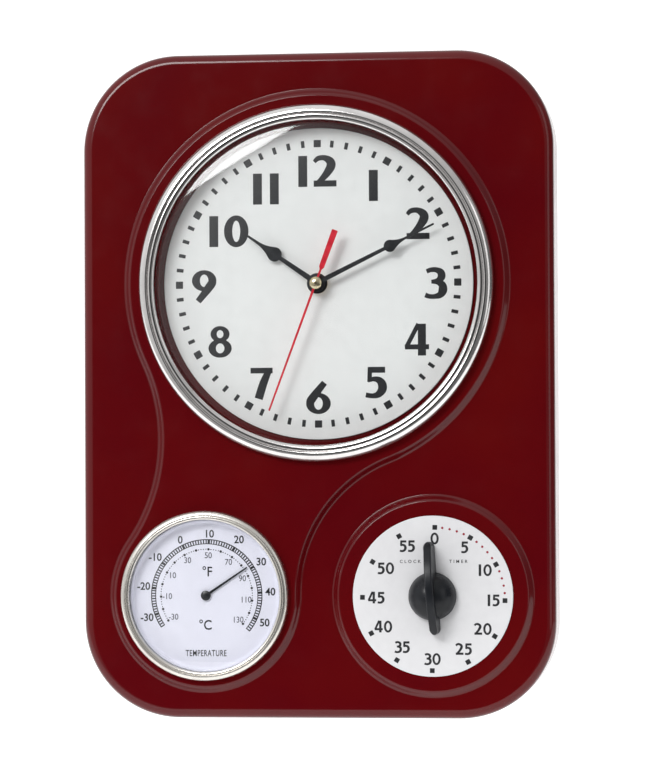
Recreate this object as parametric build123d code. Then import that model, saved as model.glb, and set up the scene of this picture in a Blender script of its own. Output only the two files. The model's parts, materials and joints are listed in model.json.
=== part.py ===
from build123d import *
import os
from math import acos, atan2, cos, degrees, radians, sin, sqrt

# A retro kitchen wall clock: one pressed steel case that carries a quartz clock, a bimetal
# thermometer and a wind-up 60 minute timer.
#
# All sizes are in millimetres. Pieces are drawn as seen from the front: x to the right, y up
# and z towards the viewer, with z = 0 on the wall. FACE then stands them up, so that
# the row frame has +X to the right, +Z up and the front facing -Y.

# ---------------------------------------------------------------- driving dimensions
CASE_WIDTH = 241.0
CASE_HEIGHT = 338.0
CORNER_RADIUS = 49.0
FRONT_EDGE_RADIUS = 5.2
PANEL_FRONT = 32.0
PLATEAU_FRONT = 35.0
SHEET = 1.2

CLOCK_X, CLOCK_Y = 0.0, 51.5
THERMO_X, THERMO_Y = -57.3, -106.8
TIMER_X, TIMER_Y = 58.8, -107.0

CLOCK_PLATEAU_RADIUS = 99.0
THERMO_PLATEAU_RADIUS = 49.5
TIMER_PLATEAU_RADIUS = 51.5
LEFT_WAIST_RADIUS = 90.0
RIGHT_WAIST_RADIUS = 71.0
SLOPE_WIDTH = 4.0

RUNNING = 0.05
SEAT_GAP = 0.02

COVER_THICKNESS = 2.5
COVER_GAP = 0.3
CASE_RIM = 0.5
MOVEMENT_WINDOW = 60.0
HANGER_Y = 140.0
HANGER_HEAD_RADIUS = 5.0
HANGER_SLOT_WIDTH = 4.6
HANGER_SLOT_TRAVEL = 8.0
HANGER_PLATE = 1.2
SCREW_SPOTS = [
    (-113.3, 108.0), (113.3, 108.0), (-113.3, -108.0), (113.3, -108.0), (0.0, -161.8), (0.0, 161.8),
]

WELL_RADIUS = 83.0
WELL_FLOOR_BACK = 23.8
CLOCK_DIAL_RADIUS = 79.3
DIAL_THICKNESS = 0.8
CLOCK_BEZEL_RADIUS = 90.5
CLOCK_BEZEL_INNER = 82.5
CLOCK_LENS_RADIUS = 86.0
CLOCK_BEZEL_TOP = 41.3

MOVEMENT_SIZE = 56.0
MOVEMENT_BACK = 8.0
MOVEMENT_SPLIT = 15.0
MOVEMENT_FRONT = 23.0
MOVEMENT_WALL = 1.2
BATTERY_WALL_Y = -12.2
BATTERY_RADIUS = 7.2
BATTERY_LENGTH = 50.0
BATTERY_Y = -19.6
BATTERY_Z = 14.4
BUSH_RADIUS = 3.4
HOUR_PIPE_RADIUS = 2.5
MINUTE_PIPE_RADIUS = 1.7
SECONDS_ARBOR_RADIUS = 0.6
PIVOT_RADIUS = 0.4
WHEEL_DISTANCE = 9.0
HOUR_HAND_BACK = 28.4
MINUTE_HAND_BACK = 31.4
SECOND_HAND_BACK = 34.2
HAND_THICKNESS = 0.6
HOUR_HAND_ANGLE = 304.6
MINUTE_HAND_ANGLE = 63.9
SECOND_HAND_ANGLE = 200.5

THERMO_BEZEL_RADIUS = 43.0
THERMO_CUP_RADIUS = 39.6
THERMO_WINDOW_RADIUS = 38.6
THERMO_CUP_BACK = 20.0
THERMO_DIAL_BACK = 31.0
THERMO_ARBOR_RADIUS = 0.8
THERMO_POINTER_ANGLE = 56.0

TIMER_DIAL_RADIUS = 40.5
TIMER_DIAL_THICKNESS = 0.6
TIMER_PLATE_RADIUS = 30.0
REAR_PLATE = (14.0, 15.2)
FRONT_PLATE = (31.8, 33.0)
TIMER_ARBOR_RADIUS = 2.0
TIMER_BUSH_RADIUS = 3.5
TIMER_BUSH_FRONT = 37.6
TIMER_STAFF_RADIUS = 0.8
KNOB_BASE = 36.4
KNOB_RADIUS = 12.1
KNOB_ANGLE = -4.0
KNOB_TIP = 27.5
KNOB_TAIL = 19.3
KNOB_FIN_WIDTH = 4.9
BELL_RADIUS = 22.0
BELL_Y = -8.0

# ---------------------------------------------------------------- helpers
FACE = Plane((0, 0, 0), x_dir=(1, 0, 0), z_dir=(0, -1, 0))


def save(node, *pieces):
    """Write the separate solids of one node, stood up in the row frame, to its STEP file."""
    solids = [solid for piece in pieces for solid in piece.solids()]
    whole = Compound(solids).moved(FACE.location)
    whole.label = node
    export_step(whole, f"parts/{node}.step")


def slab(outline, low, high):
    return Pos(0, 0, low) * extrude(outline, high - low)


def rod(x, y, radius, low, high, bore=0.0):
    outline = Circle(radius)
    if bore:
        outline = outline - Circle(bore)
    return Pos(x, y, 0) * slab(outline, low, high)


def block(x_low, x_high, y_low, y_high, z_low, z_high):
    size = Box(x_high - x_low, y_high - y_low, z_high - z_low)
    return Pos((x_low + x_high) / 2, (y_low + y_high) / 2, (z_low + z_high) / 2) * size


def turned(edges):
    """Revolve a closed outline, drawn as (radius, z), about the z axis."""
    return revolve(Plane.XZ * make_face(edges), Axis.Z, 360)


def turned_polygon(*points):
    return revolve(Plane.XZ * Polygon(*points, align=None), Axis.Z, 360)


def polar(radius, angle):
    return radius * cos(radians(angle)), radius * sin(radians(angle))


def offset_from(centre, radius, angle):
    dx, dy = polar(radius, angle)
    return centre[0] + dx, centre[1] + dy


def hand_turn(clock_angle):
    """Turn a hand drawn pointing up to its angle clockwise from twelve."""
    return Rot(0, 0, -clock_angle)


def gear_outline(teeth, module, turn=0.0):
    """Straight-flanked teeth, thin enough to leave backlash; one tooth centre lies at angle turn."""
    pitch_radius = module * teeth / 2
    tip = pitch_radius + 0.8 * module
    root = pitch_radius - 1.25 * module
    step = 360 / teeth
    shape = [(root, -0.29), (tip, -0.11), (tip, 0.11), (root, 0.29)]
    points = []
    for tooth in range(teeth):
        points += [polar(radius, turn + (tooth + share) * step) for radius, share in shape]
    return Polygon(*points, align=None)


def meshed_turn(teeth, partner_teeth, direction, partner_turn):
    """Tooth angle of a gear whose partner lies at the other end of direction, seen from the partner."""
    lead = (direction - partner_turn) % (360 / partner_teeth)
    return direction + 180 + (lead * partner_teeth + 180) / teeth


def gear(x, y, teeth, module, low, high, bore=0.0, turn=0.0):
    wheel = slab(gear_outline(teeth, module, turn), low, high)
    if bore:
        wheel = wheel - rod(0, 0, bore, low - 1, high + 1)
    return Pos(x, y, 0) * wheel


def half_ring(centre_x, radius, thickness, upper):
    ring = Circle(radius + thickness / 2) - Circle(radius - thickness / 2)
    reach = 2 * radius
    side = Pos(0, reach / 2 if upper else -reach / 2) * Rectangle(2 * reach, reach)
    return Pos(centre_x, 0) * (ring & side)


def spiral_strip(start_radius, pitch, half_turns, thickness):
    """A flat spiral of half rings about two centres, half a pitch apart."""
    strip = half_ring(0, start_radius, thickness, True)
    for index in range(1, half_turns):
        centre_x = pitch / 2 if index % 2 else 0.0
        strip = strip + half_ring(centre_x, start_radius + index * pitch / 2, thickness, index % 2 == 0)
    return strip


def dome_edge(radius, rim_z, top_z):
    """An arc from the rim to the axis, level at the axis."""
    rise = top_z - rim_z
    ball = (radius**2 + rise**2) / (2 * rise)
    middle = (radius / 2, top_z - ball + sqrt(ball**2 - radius**2 / 4))
    return ThreePointArc((radius, rim_z), middle, (0, top_z))


def domed_lens(dome_radius, edge_radius, seat, thickness, rise):
    """A clear lens with a flat edge that its bezel holds."""
    lower = dome_edge(dome_radius, seat, seat + rise)
    upper = dome_edge(dome_radius, seat + thickness, seat + thickness + rise)
    edges = [
        lower,
        Line((0, seat + rise), (0, seat + thickness + rise)),
        upper,
        Line((dome_radius, seat + thickness), (edge_radius, seat + thickness)),
        Line((edge_radius, seat + thickness), (edge_radius, seat)),
        Line((edge_radius, seat), (dome_radius, seat)),
    ]
    return turned(edges)


def bead_bezel(inner, outer, rebate, foot_z, lip_z, shoulder_z, top_z):
    """A half-round metal ring with a rebate behind its lip for the lens."""
    middle = (inner + outer) / 2
    edges = [
        Line((rebate, foot_z), (outer, foot_z)),
        Line((outer, foot_z), (outer, shoulder_z)),
        ThreePointArc((outer, shoulder_z), (middle, top_z), (inner, shoulder_z)),
        Line((inner, shoulder_z), (inner, lip_z)),
        Line((inner, lip_z), (rebate, lip_z)),
        Line((rebate, lip_z), (rebate, foot_z)),
    ]
    return turned(edges)


# ---------------------------------------------------------------- case
def waist_arc(big, big_radius, small, small_radius, waist_radius, side):
    """Ends and middle of the arc that joins two circles from outside, on side +1 or -1."""
    gap_x, gap_y = small[0] - big[0], small[1] - big[1]
    distance = sqrt(gap_x**2 + gap_y**2)
    to_big = big_radius + waist_radius
    to_small = small_radius + waist_radius
    swing = degrees(acos((distance**2 + to_big**2 - to_small**2) / (2 * distance * to_big)))
    heading = degrees(atan2(gap_y, gap_x)) + side * swing
    centre = offset_from(big, to_big, heading)
    on_big = offset_from(big, big_radius, heading)
    back = degrees(atan2(centre[1] - small[1], centre[0] - small[0]))
    on_small = offset_from(small, small_radius, back)
    middle = ((on_big[0] + on_small[0]) / 2, (on_big[1] + on_small[1]) / 2)
    middle_angle = degrees(atan2(middle[1] - centre[1], middle[0] - centre[0]))
    return on_big, offset_from(centre, waist_radius, middle_angle), on_small


def plateau_outline(shrink):
    """The raised field round the clock and the thermometer, shrunk evenly."""
    clock, thermo = (CLOCK_X, CLOCK_Y), (THERMO_X, THERMO_Y)
    big, small = CLOCK_PLATEAU_RADIUS - shrink, THERMO_PLATEAU_RADIUS - shrink
    left = waist_arc(clock, big, thermo, small, LEFT_WAIST_RADIUS + shrink, -1)
    right = waist_arc(clock, big, thermo, small, RIGHT_WAIST_RADIUS + shrink, 1)
    away = degrees(atan2(CLOCK_Y - THERMO_Y, CLOCK_X - THERMO_X))
    edges = [
        ThreePointArc(right[0], offset_from(clock, big, away), left[0]),
        ThreePointArc(*left),
        ThreePointArc(left[2], offset_from(thermo, small, away + 180), right[2]),
        ThreePointArc(right[2], right[1], right[0]),
    ]
    return make_face(edges)


def timer_outline(shrink):
    return Pos(TIMER_X, TIMER_Y) * Circle(TIMER_PLATEAU_RADIUS - shrink)


def raised_field(outline, shrink, low, high):
    foot = Pos(0, 0, low) * outline(shrink)
    crest = Pos(0, 0, high) * outline(shrink + SLOPE_WIDTH)
    return loft([foot, crest], ruled=True)


def case_body(inset, low):
    """The case's filled form, taken in by inset on every side but the open back."""
    width = CASE_WIDTH - 2 * inset
    height = CASE_HEIGHT - 2 * inset
    front = PANEL_FRONT - inset
    tray = slab(RectangleRounded(width, height, CORNER_RADIUS - inset), low, front)
    tray = fillet(tray.edges().group_by(Axis.Z)[-1], FRONT_EDGE_RADIUS - inset)
    shrink = inset / 3
    tray = tray + raised_field(plateau_outline, shrink, front, PLATEAU_FRONT - inset)
    return tray + raised_field(timer_outline, shrink, front, PLATEAU_FRONT - inset)


def front_case():
    shell = case_body(0, CASE_RIM) - case_body(SHEET, CASE_RIM - 1)
    well_floor_front = WELL_FLOOR_BACK + SHEET
    shell = shell - rod(CLOCK_X, CLOCK_Y, WELL_RADIUS, well_floor_front, PLATEAU_FRONT + 1)
    shell = shell + rod(
        CLOCK_X, CLOCK_Y, WELL_RADIUS + SHEET, WELL_FLOOR_BACK, PLATEAU_FRONT, bore=WELL_RADIUS
    )
    shell = shell + rod(CLOCK_X, CLOCK_Y, WELL_RADIUS + SHEET, WELL_FLOOR_BACK, well_floor_front)
    shell = shell - rod(CLOCK_X, CLOCK_Y, BUSH_RADIUS + 0.1, WELL_FLOOR_BACK - 1, PLATEAU_FRONT)
    shell = shell - rod(
        THERMO_X, THERMO_Y, THERMO_CUP_RADIUS + COVER_GAP, PANEL_FRONT - 5, PLATEAU_FRONT + 1
    )
    return shell - rod(TIMER_X, TIMER_Y, TIMER_BUSH_RADIUS + 0.2, PANEL_FRONT - 5, PLATEAU_FRONT + 1)


TAB_THICKNESS = 2.0
TAB_WIDTH = 14.0
TAB_DEPTH = 12.0
SCREW_RADIUS = 1.5


def cover_tab(x, y):
    """A tab spot-welded inside the case wall, which a cover screw bites into."""
    wall_x = CASE_WIDTH / 2 - SHEET
    wall_y = CASE_HEIGHT / 2 - SHEET
    tab_top = COVER_THICKNESS + TAB_THICKNESS
    if x:
        side = 1 if x > 0 else -1
        ends = sorted([side * wall_x, side * (wall_x - TAB_DEPTH)])
        tab = block(*ends, y - TAB_WIDTH / 2, y + TAB_WIDTH / 2, COVER_THICKNESS, tab_top)
    else:
        side = 1 if y > 0 else -1
        ends = sorted([side * wall_y, side * (wall_y - TAB_DEPTH)])
        tab = block(-TAB_WIDTH / 2, TAB_WIDTH / 2, *ends, COVER_THICKNESS, COVER_THICKNESS + TAB_THICKNESS)
    return tab - rod(x, y, SCREW_RADIUS + RUNNING, COVER_THICKNESS - 1, COVER_THICKNESS + TAB_THICKNESS + 1)


SCREW_HEAD_RADIUS = 3.0
SCREW_HEAD_HEIGHT = 1.5
SCREW_COUNTERBORE = 3.4


def cover_screw(x, y):
    """A pan-head screw, sunk below the cover's back, with a cross recess."""
    head_low = 0.2
    head = rod(x, y, SCREW_HEAD_RADIUS, head_low, head_low + SCREW_HEAD_HEIGHT)
    shank = rod(x, y, SCREW_RADIUS, head_low + SCREW_HEAD_HEIGHT, COVER_THICKNESS + TAB_THICKNESS + 1.5)
    slot = Pos(x, y, head_low) * Box(3.4, 0.8, 1.4)
    cross = Pos(x, y, head_low) * Box(0.8, 3.4, 1.4)
    return head + shank - slot - cross


def slot_row(x, y, count, length, width, pitch):
    heights = [y + (index - (count - 1) / 2) * pitch for index in range(count)]
    cuts = [Pos(x, height) * SlotOverall(length, width) for height in heights]
    return Sketch() + cuts


RIVET_SPREAD = 13.0
RIVET_RADIUS = 1.5


def back_cover():
    inset = SHEET + COVER_GAP
    width, height = CASE_WIDTH - 2 * inset, CASE_HEIGHT - 2 * inset
    outline = RectangleRounded(width, height, CORNER_RADIUS - inset)
    outline = outline - Pos(CLOCK_X, CLOCK_Y) * RectangleRounded(MOVEMENT_WINDOW, MOVEMENT_WINDOW, 3)
    outline = outline - Pos(0, HANGER_Y) * RectangleRounded(16, 26, 4)
    outline = outline - slot_row(TIMER_X, TIMER_Y, 5, 34, 3, 7)
    outline = outline - slot_row(THERMO_X, THERMO_Y, 5, 34, 3, 7)
    cover = slab(outline, 0, COVER_THICKNESS)
    for x, y in SCREW_SPOTS:
        cover = cover - rod(x, y, SCREW_RADIUS + 0.2, -1, COVER_THICKNESS + 1)
        cover = cover - rod(x, y, SCREW_COUNTERBORE, -1, 0.2 + SCREW_HEAD_HEIGHT)
    for side in (-1, 1):
        cover = cover - rod(side * RIVET_SPREAD, HANGER_Y, RIVET_RADIUS + RUNNING, -1, COVER_THICKNESS + 1)
    return cover


def hanger_plate():
    """A steel strip with the keyhole that takes the wall screw's head."""
    low, high = COVER_THICKNESS, COVER_THICKNESS + HANGER_PLATE
    head_y = HANGER_Y - HANGER_SLOT_TRAVEL / 2
    keyhole = Pos(0, head_y) * Circle(HANGER_HEAD_RADIUS)
    slot = Rectangle(HANGER_SLOT_WIDTH, HANGER_SLOT_TRAVEL)
    keyhole = keyhole + Pos(0, head_y + HANGER_SLOT_TRAVEL / 2) * slot
    keyhole = keyhole + Pos(0, head_y + HANGER_SLOT_TRAVEL) * Circle(HANGER_SLOT_WIDTH / 2)
    outline = Pos(0, HANGER_Y) * RectangleRounded(38, 30, 3) - keyhole
    for side in (-1, 1):
        outline = outline - Pos(side * RIVET_SPREAD, HANGER_Y) * Circle(RIVET_RADIUS + RUNNING)
    return slab(outline, low, high)


def hanger_rivet(x):
    top = COVER_THICKNESS + HANGER_PLATE
    shank = rod(x, HANGER_Y, RIVET_RADIUS, 0.2, top)
    return shank + rod(x, HANGER_Y, RIVET_RADIUS + 1.2, top, top + 1)


def build_case():
    save("front_case", front_case())
    save("cover_tabs", *[cover_tab(x, y) for x, y in SCREW_SPOTS])
    save("back_cover", back_cover())
    save("back_cover_screws", *[cover_screw(x, y) for x, y in SCREW_SPOTS])
    save("hanger_plate", hanger_plate())
    save("hanger_rivets", *[hanger_rivet(side * RIVET_SPREAD) for side in (-1, 1)])


# ---------------------------------------------------------------- clock face and hands
def on_clock(piece):
    return Pos(CLOCK_X, CLOCK_Y, 0) * piece


def spade_outline(hub, root_width, neck_width, bulb_centre, bulb_radius, waist, tip, needle_width):
    """A hand that points up: hub disc, tapering stem, round bulb, concave shoulders and a needle."""
    outline = Circle(hub) + Pos(0, bulb_centre) * Circle(bulb_radius)
    stem = [
        (-root_width / 2, 0), (root_width / 2, 0), (neck_width / 2, bulb_centre), (-neck_width / 2, bulb_centre),
    ]
    outline = outline + Polygon(*stem, align=None)
    shoulder = bulb_centre + bulb_radius * 0.5
    side = bulb_radius * sqrt(0.75)
    pinch = (needle_width / 2 + side * 0.22, shoulder + (waist - shoulder) * 0.55)
    edges = [
        Line((-side, shoulder), (side, shoulder)),
        Spline((side, shoulder), pinch, (needle_width / 2, waist)),
        Line((needle_width / 2, waist), (needle_width * 0.3, tip)),
        Line((needle_width * 0.3, tip), (-needle_width * 0.3, tip)),
        Line((-needle_width * 0.3, tip), (-needle_width / 2, waist)),
        Spline((-needle_width / 2, waist), (-pinch[0], pinch[1]), (-side, shoulder)),
    ]
    return outline + make_face(edges)


def hour_hand():
    outline = spade_outline(5.25, 2.5, 2.1, 26.5, 3.7, 38.5, 43.4, 1.0)
    outline = outline - Circle(HOUR_PIPE_RADIUS + SEAT_GAP)
    return hand_turn(HOUR_HAND_ANGLE) * slab(outline, HOUR_HAND_BACK, HOUR_HAND_BACK + HAND_THICKNESS)


def minute_hand():
    outline = spade_outline(4.4, 2.4, 1.8, 41.5, 3.1, 51.5, 66.8, 0.9)
    outline = outline - Circle(MINUTE_PIPE_RADIUS + SEAT_GAP)
    return hand_turn(MINUTE_HAND_ANGLE) * slab(outline, MINUTE_HAND_BACK, MINUTE_HAND_BACK + HAND_THICKNESS)


def second_hand():
    """A fine pointer with a broad tail that balances it."""
    needle = Polygon((-0.6, 0), (0.6, 0), (0.35, 69.0), (-0.35, 69.0), align=None)
    neck = Polygon((-0.5, 0), (-0.5, -7.2), (0.5, -7.2), (0.5, 0), align=None)
    right = [(0.5, -7.0), (1.3, -8.4), (1.55, -28.5)]
    left = [(-x, y) for x, y in reversed(right)]
    tail = Polygon(*left, *right, align=None)
    outline = Circle(2.4) + needle + neck + tail - Circle(SECONDS_ARBOR_RADIUS + SEAT_GAP)
    return hand_turn(SECOND_HAND_ANGLE) * slab(outline, SECOND_HAND_BACK, SECOND_HAND_BACK + 0.5)


CAP_RADIUS = 3.2


def hand_cap():
    base = SECOND_HAND_BACK + 0.5
    edges = [
        Line((0, base), (CAP_RADIUS, base)),
        Line((CAP_RADIUS, base), (CAP_RADIUS, base + 0.9)),
        dome_edge(CAP_RADIUS, base + 0.9, base + 2.1),
        Line((0, base + 2.1), (0, base)),
    ]
    return turned(edges)


def build_clock_face():
    dial_back = WELL_FLOOR_BACK + SHEET
    dial = rod(0, 0, CLOCK_DIAL_RADIUS, dial_back, dial_back + DIAL_THICKNESS, bore=BUSH_RADIUS + 0.1)
    save("clock_dial", on_clock(dial))
    seat = PLATEAU_FRONT + RUNNING
    lens = domed_lens(CLOCK_LENS_RADIUS - 4, CLOCK_LENS_RADIUS, seat, 1.6, 6.0)
    save("clock_lens", on_clock(lens))
    bezel = bead_bezel(
        CLOCK_BEZEL_INNER, CLOCK_BEZEL_RADIUS, CLOCK_LENS_RADIUS + 0.2,
        seat, seat + 1.7, seat + 2.2, CLOCK_BEZEL_TOP,
    )
    save("clock_bezel", on_clock(bezel))
    save("hour_hand", on_clock(hour_hand()))
    save("minute_hand", on_clock(minute_hand()))
    save("second_hand", on_clock(second_hand()))
    save("hand_cap", on_clock(hand_cap()))


# ---------------------------------------------------------------- quartz movement
REVERSER = (0.0, WHEEL_DISTANCE)
THIRD_HEADING = 170.0
THIRD = polar(WHEEL_DISTANCE, THIRD_HEADING)
FIFTH = (7.5, 0.0)
ROTOR = (14.5, 0.0)
KNOB_AXIS = offset_from(REVERSER, WHEEL_DISTANCE, 60)
PLATE_MIDDLE = (14.5, 15.1)
RIM_MODULE = 2 * WHEEL_DISTANCE / 68
COIL_X = 21.5
COIL_Z = 13.6


def pivot_hole(spot, radius, low, high):
    return rod(*spot, radius + RUNNING, low, high)


def movement_front_case():
    """The front half shell, with the threaded bush and the battery cradle."""
    half = MOVEMENT_SIZE / 2
    inner = half - MOVEMENT_WALL
    roof = MOVEMENT_FRONT - MOVEMENT_WALL
    shell = block(-half, half, -half, half, MOVEMENT_SPLIT, MOVEMENT_FRONT)
    shell = shell - block(-inner, inner, BATTERY_WALL_Y + 1, inner, MOVEMENT_SPLIT - 1, roof)
    shell = shell - block(-inner, inner, -half + 1, BATTERY_WALL_Y, MOVEMENT_SPLIT - 1, roof)
    shell = shell + rod(0, 0, BUSH_RADIUS, roof, MOVEMENT_FRONT + 5)
    shell = shell - pivot_hole((0, 0), HOUR_PIPE_RADIUS, roof - 1, MOVEMENT_FRONT + 6)
    for spot in (REVERSER, THIRD, KNOB_AXIS):
        shell = shell - pivot_hole(spot, PIVOT_RADIUS, roof - 1, MOVEMENT_FRONT + 1)
    return shell


def movement_rear_cover():
    """The rear half shell over the wheels; the battery beside it stays open to the back."""
    half = MOVEMENT_SIZE / 2
    inner = half - MOVEMENT_WALL
    floor = MOVEMENT_BACK + MOVEMENT_WALL
    shell = block(-half, half, BATTERY_WALL_Y, half, MOVEMENT_BACK, MOVEMENT_SPLIT)
    shell = shell - block(-inner, inner, BATTERY_WALL_Y + 1, inner, floor, MOVEMENT_SPLIT + 1)
    for spot in (THIRD, FIFTH, ROTOR):
        shell = shell - pivot_hole(spot, PIVOT_RADIUS, MOVEMENT_BACK - 1, floor + 1)
    shell = shell - pivot_hole((0, 0), SECONDS_ARBOR_RADIUS, MOVEMENT_BACK - 1, floor + 1)
    return shell - pivot_hole(KNOB_AXIS, 1.2, MOVEMENT_BACK - 1, floor + 1)


def movement_middle_plate():
    low, high = PLATE_MIDDLE
    plate = block(-26.4, 16.5, -10.8, 26.4, low, high)
    for x, y in ((-24, -8.5), (-24, 8), (9, -8.5), (12, 23)):
        plate = plate + rod(x, y, 1.2, MOVEMENT_BACK + MOVEMENT_WALL, low)
    for spot in (THIRD, FIFTH, ROTOR, REVERSER):
        plate = plate - pivot_hole(spot, PIVOT_RADIUS, low - 1, high + 1)
    plate = plate - pivot_hole((0, 0), SECONDS_ARBOR_RADIUS, low - 1, high + 1)
    return plate - pivot_hole(KNOB_AXIS, 1.2, low - 1, high + 1)


def seconds_wheel():
    wheel = gear(0, 0, 50, 0.25, 11.6, 12.5)
    pinion = gear(0, 0, 8, 0.25, 12.5, 14.3, turn=THIRD_HEADING)
    return wheel + pinion + rod(0, 0, SECONDS_ARBOR_RADIUS, 8.4, SECOND_HAND_BACK + 0.5)


def third_wheel():
    wheel_turn = meshed_turn(64, 8, THIRD_HEADING, THIRD_HEADING)
    wheel = gear(*THIRD, 64, 0.25, 13.2, 14.1, turn=wheel_turn)
    pinion = gear(*THIRD, 8, RIM_MODULE, 15.4, 16.9, turn=THIRD_HEADING + 180)
    return wheel + pinion + rod(*THIRD, PIVOT_RADIUS, 8.4, 22.6)


def centre_wheel():
    """The centre wheel's rim, which drives the minute arbor through a slipping clutch."""
    turn = meshed_turn(60, 8, THIRD_HEADING + 180, THIRD_HEADING + 180)
    return gear(0, 0, 60, RIM_MODULE, 15.6, 16.7, bore=MINUTE_PIPE_RADIUS + RUNNING, turn=turn)


def minute_arbor():
    pinion = gear(0, 0, 12, 0.375, 17.4, 19.2, turn=90)
    pipe = rod(0, 0, MINUTE_PIPE_RADIUS, 15.3, MINUTE_HAND_BACK + HAND_THICKNESS)
    clutch = rod(0, 0, 3.2, 17.0, 17.4)
    return pinion + pipe + clutch - pivot_hole((0, 0), SECONDS_ARBOR_RADIUS, 14, 40)


def reverser_turns():
    return meshed_turn(36, 12, 90, 90)


def reverser_wheel():
    wheel = gear(*REVERSER, 36, 0.375, 17.8, 18.8, turn=reverser_turns())
    pinion = gear(*REVERSER, 10, 0.36, 18.8, 21.2, turn=270)
    return wheel + pinion + rod(*REVERSER, PIVOT_RADIUS, 14.7, 22.6)


def hour_wheel():
    wheel = gear(0, 0, 40, 0.36, 19.6, 20.8, turn=meshed_turn(40, 10, 270, 270))
    pipe = rod(0, 0, HOUR_PIPE_RADIUS, 19.6, HOUR_HAND_BACK + HAND_THICKNESS)
    return wheel + pipe - pivot_hole((0, 0), MINUTE_PIPE_RADIUS, 19, 40)


def setting_knob():
    """The thumb wheel at the back, whose pinion turns the reverser wheel to set the hands."""
    pinion = gear(*KNOB_AXIS, 12, 0.375, 17.6, 19.0, turn=meshed_turn(12, 36, 60, reverser_turns()))
    shaft = rod(*KNOB_AXIS, 1.2, 4.2, 17.6) + rod(*KNOB_AXIS, PIVOT_RADIUS, 17.6, 22.6)
    grip = Pos(*KNOB_AXIS, 0) * slab(gear_outline(30, 0.42), 4.2, 7.4)
    return pinion + shaft + grip


def fifth_wheel():
    wheel = gear(*FIFTH, 60, 0.2, 9.8, 10.7, turn=0)
    pinion = gear(*FIFTH, 10, 0.25, 11.4, 12.8, turn=meshed_turn(10, 50, 0, 0))
    return wheel + pinion + rod(*FIFTH, PIVOT_RADIUS, 8.4, 14.9)


def rotor():
    pinion = gear(*ROTOR, 10, 0.2, 9.6, 11.0, turn=meshed_turn(10, 60, 0, 0))
    magnet = rod(*ROTOR, 2.6, 11.4, 13.6)
    return pinion + magnet + rod(*ROTOR, PIVOT_RADIUS, 8.4, 14.9)


def stator():
    sheet = block(11, 25.5, -9.5, 13.5, 12.0, 13.0) - block(17, 26, -7, 11, 11, 14)
    core = block(20, 23, -9.5, 13.5, 13.0, 14.2)
    return sheet - rod(*ROTOR, 3.0, 11, 14) + core


def coil():
    length = 17.6
    winding = Pos(COIL_X, 2, COIL_Z) * Rot(90, 0, 0) * Cylinder(4.2, length)
    core = block(20 - SEAT_GAP, 23 + SEAT_GAP, -9.5, 13.5, 13.0 - SEAT_GAP, 14.2 + SEAT_GAP)
    return winding - core


def battery_cell():
    """A size AA cell lying along x, its raised end to the right."""
    can = Pos(0, BATTERY_Y, BATTERY_Z) * Rot(0, 90, 0) * Cylinder(BATTERY_RADIUS, BATTERY_LENGTH - 1)
    nub = Pos(BATTERY_LENGTH / 2 - 0.2, BATTERY_Y, BATTERY_Z) * Rot(0, 90, 0) * Cylinder(2.7, 1.4)
    return can + nub


def battery_contacts():
    low, high = BATTERY_Z - 5, BATTERY_Z + 5
    plus = block(25.6, 26.0, BATTERY_Y - 4, BATTERY_Y + 4, low, high)
    minus = block(-26.0, -25.6, BATTERY_Y - 4, BATTERY_Y + 4, low, high)
    return plus, minus + Pos(-25.1, BATTERY_Y, BATTERY_Z) * Rot(0, 90, 0) * Cylinder(3, 1)


def build_movement():
    save("movement_front_case", on_clock(movement_front_case()))
    save("movement_rear_cover", on_clock(movement_rear_cover()))
    save("movement_middle_plate", on_clock(movement_middle_plate()))
    save("seconds_wheel", on_clock(seconds_wheel()))
    save("third_wheel", on_clock(third_wheel()))
    save("centre_wheel", on_clock(centre_wheel()))
    save("minute_arbor", on_clock(minute_arbor()))
    save("reverser_wheel", on_clock(reverser_wheel()))
    save("hour_wheel", on_clock(hour_wheel()))
    save("setting_knob", on_clock(setting_knob()))
    save("fifth_wheel", on_clock(fifth_wheel()))
    save("rotor", on_clock(rotor()))
    save("stator", on_clock(stator()))
    save("coil", on_clock(coil()))
    board = block(-25, -2.5, 12, 25, 11.0, 12.0)
    save("circuit_board", on_clock(board))
    crystal = Pos(-13, 18, 13.0) * Rot(0, 90, 0) * Cylinder(1.0, 6)
    save("quartz_crystal", on_clock(crystal))
    save("battery_cell", on_clock(battery_cell()))
    save("battery_contacts", *[on_clock(contact) for contact in battery_contacts()])
    washer_bore = BUSH_RADIUS + 0.1
    save("rubber_washer", on_clock(rod(0, 0, 9, MOVEMENT_FRONT, WELL_FLOOR_BACK, bore=washer_bore)))
    washer_back = WELL_FLOOR_BACK + SHEET + DIAL_THICKNESS
    save("brass_washer", on_clock(rod(0, 0, 5.0, washer_back, washer_back + 0.4, bore=washer_bore)))
    nut = rod(0, 0, 4.9, washer_back + 0.4, 27.9, bore=BUSH_RADIUS + SEAT_GAP)
    save("movement_nut", on_clock(nut))


# ---------------------------------------------------------------- thermometer
def on_thermometer(piece):
    return Pos(THERMO_X, THERMO_Y, 0) * piece


CUP_WALL = 1.0
CUP_FLANGE_RADIUS = 42.2
CUP_FLANGE_FRONT = 36.0
COIL_BACK, COIL_FRONT = 23.0, 28.5
COIL_START, COIL_PITCH, COIL_HALF_TURNS = 2.4, 1.8, 7
THERMO_POST_RADIUS = 1.2


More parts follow.
